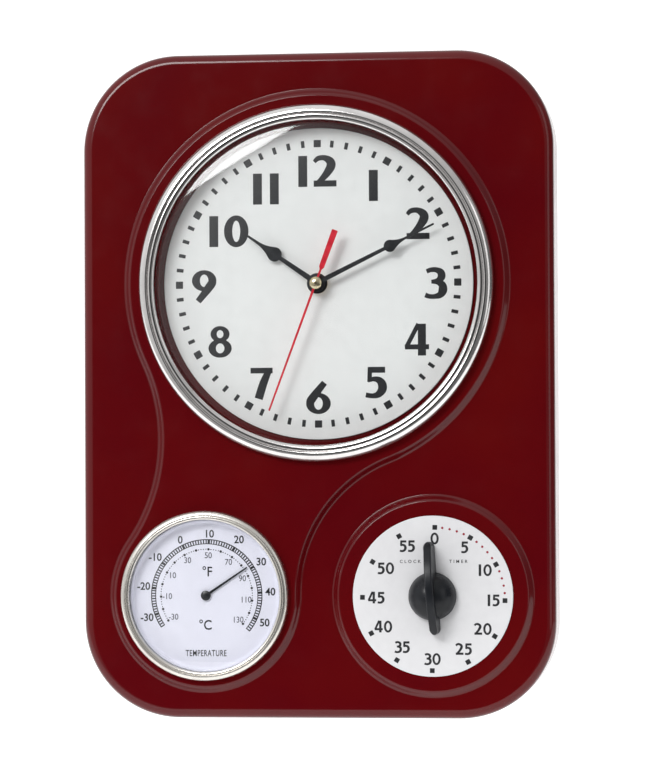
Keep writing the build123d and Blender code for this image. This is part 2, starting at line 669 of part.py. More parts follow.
def thermo_cup():
    """A pressed cup that hangs in the panel by its flange and carries the dial on a ledge."""
    inner = THERMO_CUP_RADIUS - CUP_WALL
    flange_back = PLATEAU_FRONT + RUNNING
    floor_front = THERMO_CUP_BACK + SHEET
    cup = turned_polygon(
        (0, THERMO_CUP_BACK),
        (THERMO_CUP_RADIUS, THERMO_CUP_BACK),
        (THERMO_CUP_RADIUS, flange_back),
        (CUP_FLANGE_RADIUS, flange_back),
        (CUP_FLANGE_RADIUS, CUP_FLANGE_FRONT),
        (inner, CUP_FLANGE_FRONT),
        (inner, THERMO_DIAL_BACK),
        (inner - 2, THERMO_DIAL_BACK),
        (inner - 2, THERMO_DIAL_BACK - 1.2),
        (inner, THERMO_DIAL_BACK - 1.2),
        (inner, floor_front),
        (0, floor_front),
    )
    cup = cup - rod(0, 0, THERMO_ARBOR_RADIUS + RUNNING, THERMO_CUP_BACK - 1, floor_front + 1)
    for index in range(6):
        x, y = polar(26, 60 * index + 30)
        cup = cup - rod(x, y, 4, THERMO_CUP_BACK - 1, floor_front + 1)
    return cup


def bimetal_coil():
    strip = spiral_strip(COIL_START, COIL_PITCH, COIL_HALF_TURNS, 0.5)
    return slab(strip, COIL_BACK, COIL_FRONT)


def thermo_post():
    """The post that anchors the coil's outer end to the cup."""
    end_x = COIL_START + (COIL_HALF_TURNS - 1) * COIL_PITCH / 2 + 0.25 + THERMO_POST_RADIUS
    return rod(end_x, 0, THERMO_POST_RADIUS, THERMO_CUP_BACK + SHEET, COIL_FRONT + 0.5)


def thermo_pointer():
    low = THERMO_DIAL_BACK + 1.4
    needle = Polygon((-0.9, -7), (0.9, -7), (0.5, 0), (0.25, 25.6), (-0.25, 25.6), (-0.5, 0), align=None)
    needle = hand_turn(THERMO_POINTER_ANGLE) * slab(needle, low, low + 0.4)
    hub = rod(0, 0, 2.5, low, low + 1.0)
    return needle + hub + rod(0, 0, THERMO_ARBOR_RADIUS, THERMO_CUP_BACK + 0.4, low)


def build_thermometer():
    save("thermo_cup", on_thermometer(thermo_cup()))
    dial_radius = THERMO_CUP_RADIUS - CUP_WALL - 0.1
    dial = rod(0, 0, dial_radius, THERMO_DIAL_BACK, THERMO_DIAL_BACK + 0.6, bore=1.6)
    save("thermo_dial", on_thermometer(dial))
    save("thermo_pointer", on_thermometer(thermo_pointer()))
    save("bimetal_coil", on_thermometer(bimetal_coil()))
    save("thermo_post", on_thermometer(thermo_post()))
    lens = domed_lens(THERMO_WINDOW_RADIUS - 0.2, CUP_FLANGE_RADIUS - 0.4, CUP_FLANGE_FRONT, 1.2, 4.0)
    save("thermo_lens", on_thermometer(lens))
    lip = CUP_FLANGE_FRONT + 1.25
    bezel = bead_bezel(
        THERMO_WINDOW_RADIUS, THERMO_BEZEL_RADIUS, CUP_FLANGE_RADIUS + 0.05,
        PLATEAU_FRONT + RUNNING, lip, lip + 0.3, 39.8,
    )
    save("thermo_bezel", on_thermometer(bezel))


# ---------------------------------------------------------------- wind-up timer
CENTRE = (0.0, 0.0)
SECOND_STAFF = offset_from(CENTRE, 17.0, 110)
THIRD_STAFF = offset_from(SECOND_STAFF, 11.2, 10)
ESCAPE_STAFF = offset_from(THIRD_STAFF, 9.8, -20)
ANCHOR_HEADING = -50.0
ANCHOR_DISTANCE = 8.5
PALLET_REACH = 6.3
ANCHOR_STAFF = offset_from(ESCAPE_STAFF, ANCHOR_DISTANCE, ANCHOR_HEADING)
BELL_CENTRE = (0.0, BELL_Y)
HAMMER_PIVOT = offset_from(BELL_CENTRE, 9.0, 150)
HAMMER_HEAD = offset_from(BELL_CENTRE, 17.8, 215)
HAMMER_HEAD_RADIUS = 1.8
PILLAR_ANGLES = (160, 270, 350)
STAFFS = (SECOND_STAFF, THIRD_STAFF, ESCAPE_STAFF, ANCHOR_STAFF)
BELL_MOUTH = 11.5


def on_timer(piece):
    return Pos(TIMER_X, TIMER_Y, 0) * piece


def staff(spot):
    return rod(*spot, TIMER_STAFF_RADIUS, REAR_PLATE[0] + 0.2, FRONT_PLATE[1] - 0.2)


def drilled(plate, low, high):
    for spot in STAFFS:
        plate = plate - pivot_hole(spot, TIMER_STAFF_RADIUS, low, high)
    for angle in PILLAR_ANGLES:
        plate = plate - rod(*polar(26.5, angle), SCREW_RADIUS + RUNNING, low, high)
    return plate


def timer_front_plate():
    low, high = FRONT_PLATE
    plate = rod(0, 0, TIMER_PLATE_RADIUS, low, high) + rod(0, 0, TIMER_BUSH_RADIUS, high, TIMER_BUSH_FRONT)
    plate = drilled(plate, low - 1, high + 1)
    return plate - pivot_hole(CENTRE, TIMER_ARBOR_RADIUS, low - 1, TIMER_BUSH_FRONT + 1)


def timer_rear_plate():
    """The rear plate, with the bell post, the hammer's pin and the mainspring's stud."""
    low, high = REAR_PLATE
    plate = drilled(rod(0, 0, TIMER_PLATE_RADIUS, low, high), low - 1, high + 1)
    plate = plate - pivot_hole(CENTRE, TIMER_ARBOR_RADIUS, low - 1, high + 1)
    plate = plate + rod(*BELL_CENTRE, 2.0, 5.5, low) - rod(*BELL_CENTRE, 1.25, 4.5, low - 3)
    plate = plate + rod(*HAMMER_PIVOT, 1.0, 11.9, low)
    return plate + rod(-13.4, 0, 1.0, high, 25.5)


def timer_pillar(angle):
    """A pillar between the plates, its two ends riveted through them."""
    spot = polar(26.5, angle)
    body = rod(*spot, 2.5, REAR_PLATE[1], FRONT_PLATE[0])
    return body + rod(*spot, SCREW_RADIUS, REAR_PLATE[0] - 0.3, FRONT_PLATE[1] + 0.3)


def timer_arbor():
    """The winding arbor, with the spring's collar and the click wheel."""
    shaft = rod(0, 0, TIMER_ARBOR_RADIUS, 13.6, 44.0)
    click = slab(gear_outline(18, 0.5), 28.35, 29.0)
    return shaft + rod(0, 0, 3.0, 19.0, 26.0) + click


def timer_knob():
    """A domed hub crossed by a thin fin, long towards the pointer and short behind."""
    edges = [
        Line((7.0, KNOB_BASE), (KNOB_RADIUS, KNOB_BASE)),
        Line((KNOB_RADIUS, KNOB_BASE), (KNOB_RADIUS, KNOB_BASE + 1.5)),
        dome_edge(KNOB_RADIUS, KNOB_BASE + 1.5, KNOB_BASE + 11.0),
        Line((0, KNOB_BASE + 11.0), (0, KNOB_BASE + 2.4)),
        Line((0, KNOB_BASE + 2.4), (7.0, KNOB_BASE + 2.4)),
        Line((7.0, KNOB_BASE + 2.4), (7.0, KNOB_BASE)),
    ]
    hub = turned(edges)
    length = KNOB_TIP + KNOB_TAIL
    slot = Pos(0, (KNOB_TIP - KNOB_TAIL) / 2) * Rot(0, 0, 90) * SlotOverall(length, KNOB_FIN_WIDTH)
    crown = [
        Line((-KNOB_TAIL, KNOB_BASE + 0.6), (KNOB_TIP, KNOB_BASE + 0.6)),
        Line((KNOB_TIP, KNOB_BASE + 0.6), (KNOB_TIP, KNOB_BASE + 6.0)),
        ThreePointArc((KNOB_TIP, KNOB_BASE + 6.0), (0, KNOB_BASE + 17.0), (-KNOB_TAIL, KNOB_BASE + 6.0)),
        Line((-KNOB_TAIL, KNOB_BASE + 6.0), (-KNOB_TAIL, KNOB_BASE + 0.6)),
    ]
    profile = extrude(Plane.YZ * make_face(crown), KNOB_FIN_WIDTH, both=True)
    fin = profile & slab(slot, KNOB_BASE, KNOB_BASE + 18)
    fin = fin - rod(0, 0, 7.0, KNOB_BASE - 1, KNOB_BASE + 2.4)
    knob = hub + fin - rod(0, 0, TIMER_ARBOR_RADIUS + SEAT_GAP, KNOB_BASE, 44.0)
    return hand_turn(KNOB_ANGLE) * knob


def main_wheel():
    turn = meshed_turn(60, 8, 290, 290)
    return gear(0, 0, 60, 0.5, 27.0, 28.2, bore=TIMER_ARBOR_RADIUS + RUNNING, turn=turn)


def timer_second_wheel():
    pinion = gear(*SECOND_STAFF, 8, 0.5, 26.8, 28.4, turn=290)
    wheel = gear(*SECOND_STAFF, 48, 0.4, 29.2, 30.0, turn=meshed_turn(48, 8, 190, 190))
    return pinion + wheel + staff(SECOND_STAFF)


def timer_third_wheel():
    pinion = gear(*THIRD_STAFF, 8, 0.4, 28.9, 30.3, turn=190)
    wheel = gear(*THIRD_STAFF, 48, 0.35, 17.0, 17.8, turn=meshed_turn(48, 8, 160, 160))
    return pinion + wheel + staff(THIRD_STAFF)


def escape_wheel():
    """Pointed escape teeth, with the pinion that the train drives."""
    points = [polar(5.5 if index % 2 else 4.2, 12 * index) for index in range(30)]
    wheel = Pos(*ESCAPE_STAFF, 0) * slab(Polygon(*points, align=None), 22.0, 22.8)
    pinion = gear(*ESCAPE_STAFF, 8, 0.35, 16.7, 18.1, turn=160)
    return wheel + pinion + staff(ESCAPE_STAFF)


def anchor_lever():
    """Two pallet pins on a weighted lever, which the escape wheel rocks."""
    pallet_x, pallet_y = PALLET_REACH * cos(radians(35)) - ANCHOR_DISTANCE, PALLET_REACH * sin(radians(35))
    bar = Pos(pallet_x / 2, 0) * Rectangle(-pallet_x, 2.0)
    bar = bar + Pos(pallet_x, 0) * Rectangle(1.4, 2 * pallet_y + 1.2)
    bar = bar + Rectangle(2.4, 9.0) + Circle(1.8)
    for side in (-1, 1):
        bar = bar + Pos(0, side * 4.4) * Circle(1.7)
    lever = slab(bar, 23.3, 24.1)
    for side in (-1, 1):
        lever = lever + rod(pallet_x, side * pallet_y, 0.3, 21.7, 23.6)
    return Pos(*ANCHOR_STAFF, 0) * Rot(0, 0, ANCHOR_HEADING) * lever + staff(ANCHOR_STAFF)


def mainspring():
    return slab(spiral_strip(3.7, 1.7, 10, 0.4), 19.5, 25.5)


def bell():
    """A shallow struck bell, its mouth to the front."""
    inner = BELL_RADIUS - 1
    edges = [
        Line((1.3, 4.5), (12, 4.5)),
        ThreePointArc((12, 4.5), (BELL_RADIUS - 2.4, 6.9), (BELL_RADIUS, BELL_MOUTH)),
        Line((BELL_RADIUS, BELL_MOUTH), (inner, BELL_MOUTH)),
        ThreePointArc((inner, BELL_MOUTH), (inner - 2.2, 7.7), (12, 5.5)),
        Line((12, 5.5), (1.3, 5.5)),
        Line((1.3, 5.5), (1.3, 4.5)),
    ]
    return Pos(*BELL_CENTRE, 0) * turned(edges)


def bell_screw():
    return rod(*BELL_CENTRE, 3.2, 3.3, 4.5) + rod(*BELL_CENTRE, 1.2, 4.5, 9.5)


def hammer():
    """A lever with a round head, which strikes the bell's wall from inside."""
    heading = degrees(atan2(HAMMER_HEAD[1] - HAMMER_PIVOT[1], HAMMER_HEAD[0] - HAMMER_PIVOT[0]))
    reach = sqrt((HAMMER_HEAD[0] - HAMMER_PIVOT[0]) ** 2 + (HAMMER_HEAD[1] - HAMMER_PIVOT[1]) ** 2)
    arm = Pos(*HAMMER_PIVOT) * Rot(0, 0, heading) * Pos(reach / 2, 0) * SlotOverall(reach + 3.4, 3.4)
    lever = slab(arm, 12.0, 12.8) + rod(*HAMMER_HEAD, HAMMER_HEAD_RADIUS, 9.4, 12.8)
    return lever - rod(*HAMMER_PIVOT, 1.0 + RUNNING, 11, 14)


def build_timer():
    dial = rod(0, 0, TIMER_DIAL_RADIUS, PLATEAU_FRONT, PLATEAU_FRONT + TIMER_DIAL_THICKNESS, bore=3.7)
    save("timer_dial", on_timer(dial))
    save("timer_knob", on_timer(timer_knob()))
    save("timer_arbor", on_timer(timer_arbor()))
    nut_back = PLATEAU_FRONT + TIMER_DIAL_THICKNESS
    nut = slab(RegularPolygon(5.8, 6), nut_back, nut_back + 1.6)
    nut = nut - rod(0, 0, TIMER_BUSH_RADIUS + SEAT_GAP, 35, 38)
    save("timer_nut", on_timer(nut))
    washer = rod(0, 0, 8, FRONT_PLATE[1], PLATEAU_FRONT - SHEET, bore=TIMER_BUSH_RADIUS + 0.1)
    save("timer_washer", on_timer(washer))
    save("timer_front_plate", on_timer(timer_front_plate()))
    save("timer_rear_plate", on_timer(timer_rear_plate()))
    save("timer_pillars", *[on_timer(timer_pillar(angle)) for angle in PILLAR_ANGLES])
    save("mainspring", on_timer(mainspring()))
    save("timer_main_wheel", on_timer(main_wheel()))
    save("timer_second_wheel", on_timer(timer_second_wheel()))
    save("timer_third_wheel", on_timer(timer_third_wheel()))
    save("escape_wheel", on_timer(escape_wheel()))
    save("anchor_lever", on_timer(anchor_lever()))
    save("bell", on_timer(bell()))
    save("bell_screw", on_timer(bell_screw()))
    save("hammer", on_timer(hammer()))


def main():
    os.makedirs("parts", exist_ok=True)
    build_case()
    build_clock_face()
    build_movement()
    build_thermometer()
    build_timer()


main()
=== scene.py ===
"""Looks of a retro kitchen wall clock: a red enamelled case with a clock, a thermometer and a timer.

Laid out as an add-on and run as a script. Lengths in the code are millimetres as seen from the
front, x to the right, y up and z towards the viewer; stand() turns them into the frame's metres.
Angles on dials are degrees clockwise from the top.
"""

import json
import math
from math import cos, pi, radians, sin, sqrt, tau

import bmesh
import bpy
from bpy.props import FloatProperty, FloatVectorProperty, PointerProperty
from mathutils import Matrix, Vector
from mathutils.geometry import delaunay_2d_cdt


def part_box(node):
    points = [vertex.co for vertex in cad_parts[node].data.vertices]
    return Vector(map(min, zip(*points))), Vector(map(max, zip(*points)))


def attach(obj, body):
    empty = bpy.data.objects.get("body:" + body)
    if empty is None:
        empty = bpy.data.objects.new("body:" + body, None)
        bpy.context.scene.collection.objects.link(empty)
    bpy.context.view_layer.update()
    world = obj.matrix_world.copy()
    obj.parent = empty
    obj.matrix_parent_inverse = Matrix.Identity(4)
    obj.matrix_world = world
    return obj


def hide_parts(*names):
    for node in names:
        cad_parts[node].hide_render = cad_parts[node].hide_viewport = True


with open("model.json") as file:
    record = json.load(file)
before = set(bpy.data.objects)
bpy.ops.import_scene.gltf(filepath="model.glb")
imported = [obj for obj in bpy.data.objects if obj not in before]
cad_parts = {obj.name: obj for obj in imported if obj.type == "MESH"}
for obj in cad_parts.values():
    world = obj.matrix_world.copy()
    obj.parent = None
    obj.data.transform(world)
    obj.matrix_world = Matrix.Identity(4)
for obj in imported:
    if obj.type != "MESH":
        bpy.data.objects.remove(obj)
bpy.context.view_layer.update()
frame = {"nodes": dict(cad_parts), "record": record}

bl_info = {
    "name": "Kitchen Clock Looks",
    "version": (1, 0, 0),
    "blender": (4, 5, 0),
    "location": "View3D > Sidebar > Kitchen Clock",
    "description": "Builds the visible pieces of a wall clock with a thermometer and a timer",
    "category": "Object",
}

MM = 0.001
PRINT_SINK = 0.02
PRINT_PROUD = 0.05
PRINT_LAYER = 0.006
ROUND_STEPS = 192
CAPITAL_HEIGHT = 0.72


# ---------------------------------------------------------------- places taken from the frame
def stand(point):
    """A point in millimetres seen from the front, as a point of the frame in metres."""
    x, y, z = point
    return Vector((x * MM, -z * MM, y * MM))


class Spot:
    """Where a CAD node lies: its centre, its reach to the side, its back and its front."""

    def __init__(self, node):
        low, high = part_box(node)
        self.x = (low.x + high.x) / 2 / MM
        self.y = (low.z + high.z) / 2 / MM
        self.radius = (high.x - low.x) / 2 / MM
        self.half_height = (high.z - low.z) / 2 / MM
        self.back = -high.y / MM
        self.front = -low.y / MM


CASE = Spot("front_case")
CLOCK = Spot("clock_bezel")
THERMO = Spot("thermo_bezel")
TIMER = Spot("timer_dial")


def reach_and_turn(node, centre):
    """How far a hand reaches from its pivot, and the dial angle that it points at."""
    offsets = []
    for vertex in frame["nodes"][node].data.vertices:
        offsets.append(Vector((vertex.co.x / MM - centre.x, vertex.co.z / MM - centre.y)))
    reach = max(offset.length for offset in offsets)
    tip = sum((offset for offset in offsets if offset.length > 0.97 * reach), Vector((0, 0)))
    return reach, math.degrees(math.atan2(tip.x, tip.y))


def from_screen(red, green, blue):
    """A colour given as 0 to 255 display values, as the linear colour that Blender works in."""
    linear = []
    for value in (red, green, blue):
        share = value / 255
        linear.append(share / 12.92 if share <= 0.04045 else ((share + 0.055) / 1.055) ** 2.4)
    return tuple(linear)


# ---------------------------------------------------------------- settings
def number(name, description, default):
    """A setting that is never negative; its description gives the unit."""
    return FloatProperty(name=name, description=description, default=default, min=0.0)


def colour(name, description, *screen):
    return FloatVectorProperty(
        name=name, description=description, default=from_screen(*screen), subtype="COLOR", min=0, max=1
    )


class CaseSettings(bpy.types.PropertyGroup):
    enamel: colour("Enamel", "Colour of the enamelled case", 87, 4, 11)
    warm_enamel: colour("Enamel variation", "Warmer tone that drifts through the enamel", 94, 8, 10)
    corner: number("Corner radius", "Radius of the case's four corners, mm", 49.0)
    edge: number("Edge radius", "Rounding of the case's front edge, mm", 5.2)
    rise: number("Field rise", "How far the raised fields stand above the panel, mm", 3.0)
    slope: number("Slope width", "Width of the slope round a raised field, mm", 4.0)
    sheet: number("Sheet thickness", "Thickness of the case's steel sheet, mm", 1.2)


class DialSettings(bpy.types.PropertyGroup):
    clock_card: colour("Clock card", "Colour of the clock's dial", 246, 247, 246)
    thermo_card: colour("Thermometer card", "Colour of the thermometer's dial", 240, 239, 252)
    timer_card: colour("Timer card", "Colour of the timer's dial", 220, 220, 222)
    ink: colour("Dark ink", "Colour of the dark print", 26, 27, 31)
    grey_ink: colour("Grey ink", "Colour of the second scale's print", 72, 72, 84)
    red_ink: colour("Red ink", "Colour of the first quarter's minute dots", 150, 28, 48)
    numeral: number("Hour numeral height", "Height of the hour numerals, mm", 15.8)
    minute_numeral: number("Timer numeral height", "Height of the timer's numerals, mm", 5.8)


class HandSettings(bpy.types.PropertyGroup):
    dark: colour("Hand paint", "Colour of the hour and minute hands", 26, 28, 32)
    red: colour("Second hand paint", "Colour of the second hand", 205, 14, 42)
    knob: colour("Knob", "Colour of the timer's knob", 13, 16, 21)
    edge: number("Edge rounding", "Rounding of the pressed hands' edges, mm", 0.12)


class StageSettings(bpy.types.PropertyGroup):
    lens: number("Lens", "Focal length of the camera on a 36 mm sensor, mm", 169.79)
    key: number("Key light", "Power of the upper left light, W", 22.0)
    fill: number("Fill light", "Power of the right-hand light, W", 3.0)
    tent: number("Tent", "Brightness of the white surroundings, 1 is full", 0.88)
    floor_drop: number("Floor drop", "How far the floor lies below the object, mm", 130.0)


# ---------------------------------------------------------------- shader maths
class Wire:
    """One value inside a shader. Its + - * and powers add Math nodes."""

    def __init__(self, shader, socket):
        self.shader = shader
        self.socket = socket

    def step(self, operation, *values):
        settings = {"operation": operation}
        return self.shader.node("ShaderNodeMath", settings, dict(enumerate(values)))

    def __add__(self, other):
        return self.step("ADD", self, other)

    def __radd__(self, other):
        return self.step("ADD", other, self)

    def __sub__(self, other):
        return self.step("SUBTRACT", self, other)

    def __rsub__(self, other):
        return self.step("SUBTRACT", other, self)

    def __mul__(self, other):
        return self.step("MULTIPLY", self, other)

    def __rmul__(self, other):
        return self.step("MULTIPLY", other, self)

    def __pow__(self, other):
        return self.step("POWER", self, other)

    def clip(self, low, high):
        """0 below low, 1 above high and even between them."""
        return self.shader.node(
            "ShaderNodeMapRange", {"clamp": True}, {"Value": self, "From Min": low, "From Max": high}
        )


class Shader:
    """The node tree of a material or of the world."""

    def __init__(self, owner):
        owner.use_nodes = True
        self.tree = owner.node_tree
        self.tree.nodes.clear()

    def node(self, kind, settings=None, sockets=None, output=0):
        """Add a node: its settings first, then the values or links of its sockets."""
        made = self.tree.nodes.new(kind)
        for name, value in (settings or {}).items():
            setattr(made, name, value)
        for name, value in (sockets or {}).items():
            if isinstance(value, Wire):
                self.tree.links.new(value.socket, made.inputs[name])
            else:
                made.inputs[name].default_value = value
        return Wire(self, made.outputs[output]) if made.outputs else None

    def place(self):
        """The point on the piece, in the frame's metres."""
        return self.node("ShaderNodeTexCoord", output=3)

    def part_of_place(self, axis):
        return self.node("ShaderNodeSeparateXYZ", sockets={"Vector": self.place()}, output=axis)

    def stretched(self, *scale):
        return self.node("ShaderNodeMapping", sockets={"Vector": self.place(), "Scale": scale})

    def noise(self, size, detail=2.0, roughness=0.5, vector=None):
        """Soft noise about 0.5, whose blotches are size millimetres across."""
        sockets = {
            "Vector": vector or self.place(),
            "Scale": 1 / (size * MM),
            "Detail": detail,
            "Roughness": roughness,
        }
        return self.node("ShaderNodeTexNoise", sockets=sockets)

    def cells(self, size, output=0, feature="F1"):
        sockets = {"Vector": self.place(), "Scale": 1 / (size * MM)}
        return self.node("ShaderNodeTexVoronoi", {"feature": feature}, sockets, output)

    def mix(self, factor, first, second):
        sockets = {0: factor, 6: self.opaque(first), 7: self.opaque(second)}
        return self.node("ShaderNodeMix", {"data_type": "RGBA"}, sockets, 2)

    def opaque(self, tone):
        return tone if isinstance(tone, Wire) else (*tuple(tone)[:3], 1.0)

    def bump(self, height, depth, strength=1.0, under=None):
        """Normals of a relief whose height, from 0 to 1, is depth millimetres."""
        sockets = {"Height": height, "Distance": depth * MM, "Strength": strength}
        if under:
            sockets["Normal"] = under
        return self.node("ShaderNodeBump", sockets=sockets)

    def surface(self, base, roughness, normal=None, **more):
        sockets = {"Base Color": self.opaque(base), "Roughness": roughness}
        if normal:
            sockets["Normal"] = normal
        for name, value in more.items():
            sockets[name.replace("_", " ")] = value
        shade = self.node("ShaderNodeBsdfPrincipled", sockets=sockets)
        self.finish(shade)

    def finish(self, shade):
        self.node("ShaderNodeOutputMaterial", sockets={"Surface": shade})


# ---------------------------------------------------------------- finishes
def enamel(shader):
    """Glossy stoved enamel: a slow drift of tone, orange peel and a clear top."""
    look = bpy.context.scene.clock_case
    drift = shader.noise(70, 2).clip(0.35, 0.68)
    specks = shader.noise(0.5, 2).clip(0.3, 0.7)
    base = shader.mix(drift, look.enamel, look.warm_enamel)
    base = shader.mix(specks * 0.12, base, from_screen(40, 1, 4))
    smear = shader.noise(16, 4).clip(0.45, 0.75)
    peel = shader.bump(shader.noise(1.6, 1), 0.004)
    waves = shader.bump(shader.noise(38, 1), 0.05, under=peel)
    gloss = {"Coat_Weight": 0.25, "Coat_Roughness": 0.03, "Specular_IOR_Level": 0.25}
    shader.surface(base, 0.14 + smear * 0.06, waves, **gloss)


def plated(shader, tone, roughness, streak=(1.0, 1.0, 1.0)):
    """Polished plate with hair-fine marks and a faint haze."""
    haze = shader.noise(9, 4).clip(0.4, 0.8)
    marks = shader.noise(0.35, 3, 0.7, shader.stretched(*streak))
    deep = tuple(value * 0.82 for value in tone)
    relief = shader.bump(marks, 0.0015)
    shader.surface(shader.mix(haze, tone, deep), roughness + haze * 0.05, relief, Metallic=1.0)


def chrome(shader):
    plated(shader, from_screen(228, 225, 224), 0.13)


def warm_chrome(shader):
    plated(shader, from_screen(224, 220, 213), 0.26)


def brushed(shader, tone, roughness):
    """Rolled sheet metal with a grain that runs across it."""
    grain = shader.noise(0.3, 3, 0.6, shader.stretched(0.06, 1.0, 1.0))
    stain = shader.noise(11, 3).clip(0.42, 0.75)
    dull = tuple(value * 0.7 for value in tone)
    relief = shader.bump(grain, 0.006)
    shader.surface(shader.mix(stain, tone, dull), roughness + grain * 0.18, relief, Metallic=1.0)


def grey_steel(shader):
    brushed(shader, from_screen(176, 177, 180), 0.26)


def screw_steel(shader):
    brushed(shader, from_screen(206, 206, 204), 0.2)


def brass(shader):
    brushed(shader, from_screen(214, 184, 118), 0.2)


def cap_brass(shader):
    plated(shader, from_screen(222, 208, 172), 0.2)


def zinc(shader):
    """Zinc plating with large frosty spangles."""
    spangle = shader.cells(5.0, output=1)
    level = shader.node("ShaderNodeSeparateXYZ", sockets={"Vector": spangle})
    frost = shader.mix(level, from_screen(168, 170, 172), from_screen(205, 206, 206))
    relief = shader.bump(shader.noise(0.6, 3), 0.008)
    shader.surface(frost, 0.3 + level * 0.16, relief, Metallic=1.0)


def card(shader, tone):
    """Coated card: faint mottling and the tooth of the paper."""
    mottle = shader.noise(6, 3).clip(0.35, 0.75)
    shade = tuple(value * 0.955 for value in tone)
    tooth = shader.bump(shader.noise(0.35, 3, 0.6), 0.006)
    shader.surface(shader.mix(mottle, tone, shade), 0.46 + mottle * 0.12, tooth)


def white_print(shader):
    card(shader, bpy.context.scene.clock_dials.clock_card)


def cool_print(shader):
    card(shader, bpy.context.scene.clock_dials.thermo_card)


def timer_print(shader):
    card(shader, bpy.context.scene.clock_dials.timer_card)


def ink(shader, tone):
    """Screen ink: a little thin in places, with a slight sheen."""
    thin = shader.noise(0.9, 3).clip(0.5, 0.85)
    pale = tuple(value * 0.85 + 0.02 for value in tone)
    film = shader.bump(shader.noise(0.25, 2), 0.004)
    shader.surface(shader.mix(thin, tone, pale), 0.38 + thin * 0.15, film)


def dark_ink(shader):
    ink(shader, bpy.context.scene.clock_dials.ink)


def grey_ink(shader):
    ink(shader, bpy.context.scene.clock_dials.grey_ink)


def red_ink(shader):
    ink(shader, bpy.context.scene.clock_dials.red_ink)


def hand_paint(shader, tone):
    """Thin stoved paint on a pressed hand, with dust nibs and a soft sheen."""
    patch = shader.noise(3, 3).clip(0.4, 0.7)
    lighter = tuple(value * 1.25 + 0.004 for value in tone)
    nibs = shader.bump(shader.noise(0.3, 3), 0.006)
    shader.surface(shader.mix(patch, tone, lighter), 0.3 + patch * 0.12, nibs, Coat_Weight=0.2)


def hand_black(shader):
    hand_paint(shader, bpy.context.scene.clock_hands.dark)


def hand_red(shader):
    hand_paint(shader, bpy.context.scene.clock_hands.red)


def knob_black(shader):
    """Satin moulding with flow marks, rubbed brighter where fingers grip it."""
    flow = shader.noise(4, 4, 0.6, shader.stretched(1.0, 1.0, 0.25)).clip(0.35, 0.75)
    tone = bpy.context.scene.clock_hands.knob
    lighter = tuple(value * 1.5 + 0.003 for value in tone)
    rub = shader.noise(9, 2).clip(0.42, 0.7)
    grain = shader.bump(shader.noise(0.28, 3), 0.012)
    shader.surface(shader.mix(flow, tone, lighter), 0.36 - rub * 0.1, grain, Specular_IOR_Level=0.3)


def moulded(shader, tone, texture_depth, roughness):
    """Injection-moulded plastic with a spark-eroded texture."""
    cloud = shader.noise(25, 3).clip(0.35, 0.7)
    lighter = tuple(value * 1.3 + 0.003 for value in tone)
    pits = shader.cells(0.55)
    relief = shader.bump(pits, texture_depth)
    shader.surface(shader.mix(cloud, tone, lighter), roughness + pits * 0.1, relief)


def black_plastic(shader):
    moulded(shader, from_screen(40, 40, 43), 0.03, 0.46)


def white_plastic(shader):
    moulded(shader, from_screen(226, 225, 216), 0.008, 0.34)


def rubber_black(shader):
    moulded(shader, from_screen(34, 34, 35), 0.05, 0.72)


def copper(shader):
    """Turns of enamelled wire laid side by side, with painted shade in the grooves between turns and a
    painted highlight along each crest.
    """
    waves = {"wave_type": "BANDS", "bands_direction": "Z", "wave_profile": "SIN"}
    turns = shader.node("ShaderNodeTexWave", waves, {"Vector": shader.place(), "Scale": 900.0}, 1)
    # painted shade and highlight: deep copper in the grooves, bright copper on the crests, in step with the
    # relief
    base = shader.mix(turns, from_screen(120, 52, 26), from_screen(214, 128, 80))
    shader.surface(base, 0.3, shader.bump(turns, 0.06), Metallic=0.85)


def board_green(shader):
    """Solder resist over branching tracks."""
    tracks = shader.cells(3.2, feature="DISTANCE_TO_EDGE").clip(0.04, 0.09)
    base = shader.mix(tracks, from_screen(38, 120, 66), from_screen(16, 74, 42))
    shader.surface(base, 0.32 + shader.noise(0.6) * 0.1, shader.bump(tracks, 0.03))


def battery_wrap(shader):
    """A plain dark sleeve with a bright band at the plus end."""
    band = shader.part_of_place(0).clip(0.0108, 0.0111)
    scuffs = shader.noise(1.2, 4, 0.7, shader.stretched(0.2, 1.0, 1.0)).clip(0.55, 0.7)
    sleeve = shader.mix(band, from_screen(38, 44, 56), from_screen(198, 142, 64))
    worn = shader.mix(scuffs * 0.25, sleeve, from_screen(150, 150, 152))
    shader.surface(worn, 0.26 + scuffs * 0.2, shader.bump(scuffs, 0.01), Metallic=0.35)


def lens(shader):
    """Clear glass: seen through, with the gloss growing towards grazing angles."""
    smudge = shader.noise(22, 4).clip(0.45, 0.8)
    clear = shader.node("ShaderNodeBsdfTransparent", sockets={"Color": (0.985, 0.99, 0.99, 1.0)})
    gloss = shader.node("ShaderNodeBsdfGlossy", sockets={"Roughness": 0.02 + smudge * 0.03})
    slant = shader.node("ShaderNodeLayerWeight", sockets={"Blend": 0.5}, output=1)
    amount = 0.042 + slant**5 * 0.9
    shader.finish(shader.node("ShaderNodeMixShader", sockets={0: amount, 1: clear, 2: gloss}))


FINISHES = {
    finish.__name__: finish
    for finish in (
        enamel, chrome, warm_chrome, grey_steel, screw_steel, brass, cap_brass, zinc, white_print,
        cool_print, timer_print, dark_ink, grey_ink, red_ink, hand_black, hand_red, knob_black,
        black_plastic, white_plastic, rubber_black, copper, board_green, battery_wrap, lens,
    )
}


def finished(name):
    """The material with that finish, made when it is first asked for."""
    title = name + "_finish"
    found = bpy.data.materials.get(title)
    if found is None:
        found = bpy.data.materials.new(title)
        FINISHES[name](Shader(found))
    return found


# ---------------------------------------------------------------- outlines
def on_circle(centre_x, centre_y, radius, angle):
    """A point on a circle; the angle runs anticlockwise from the right, in degrees."""
    return centre_x + radius * cos(radians(angle)), centre_y + radius * sin(radians(angle))


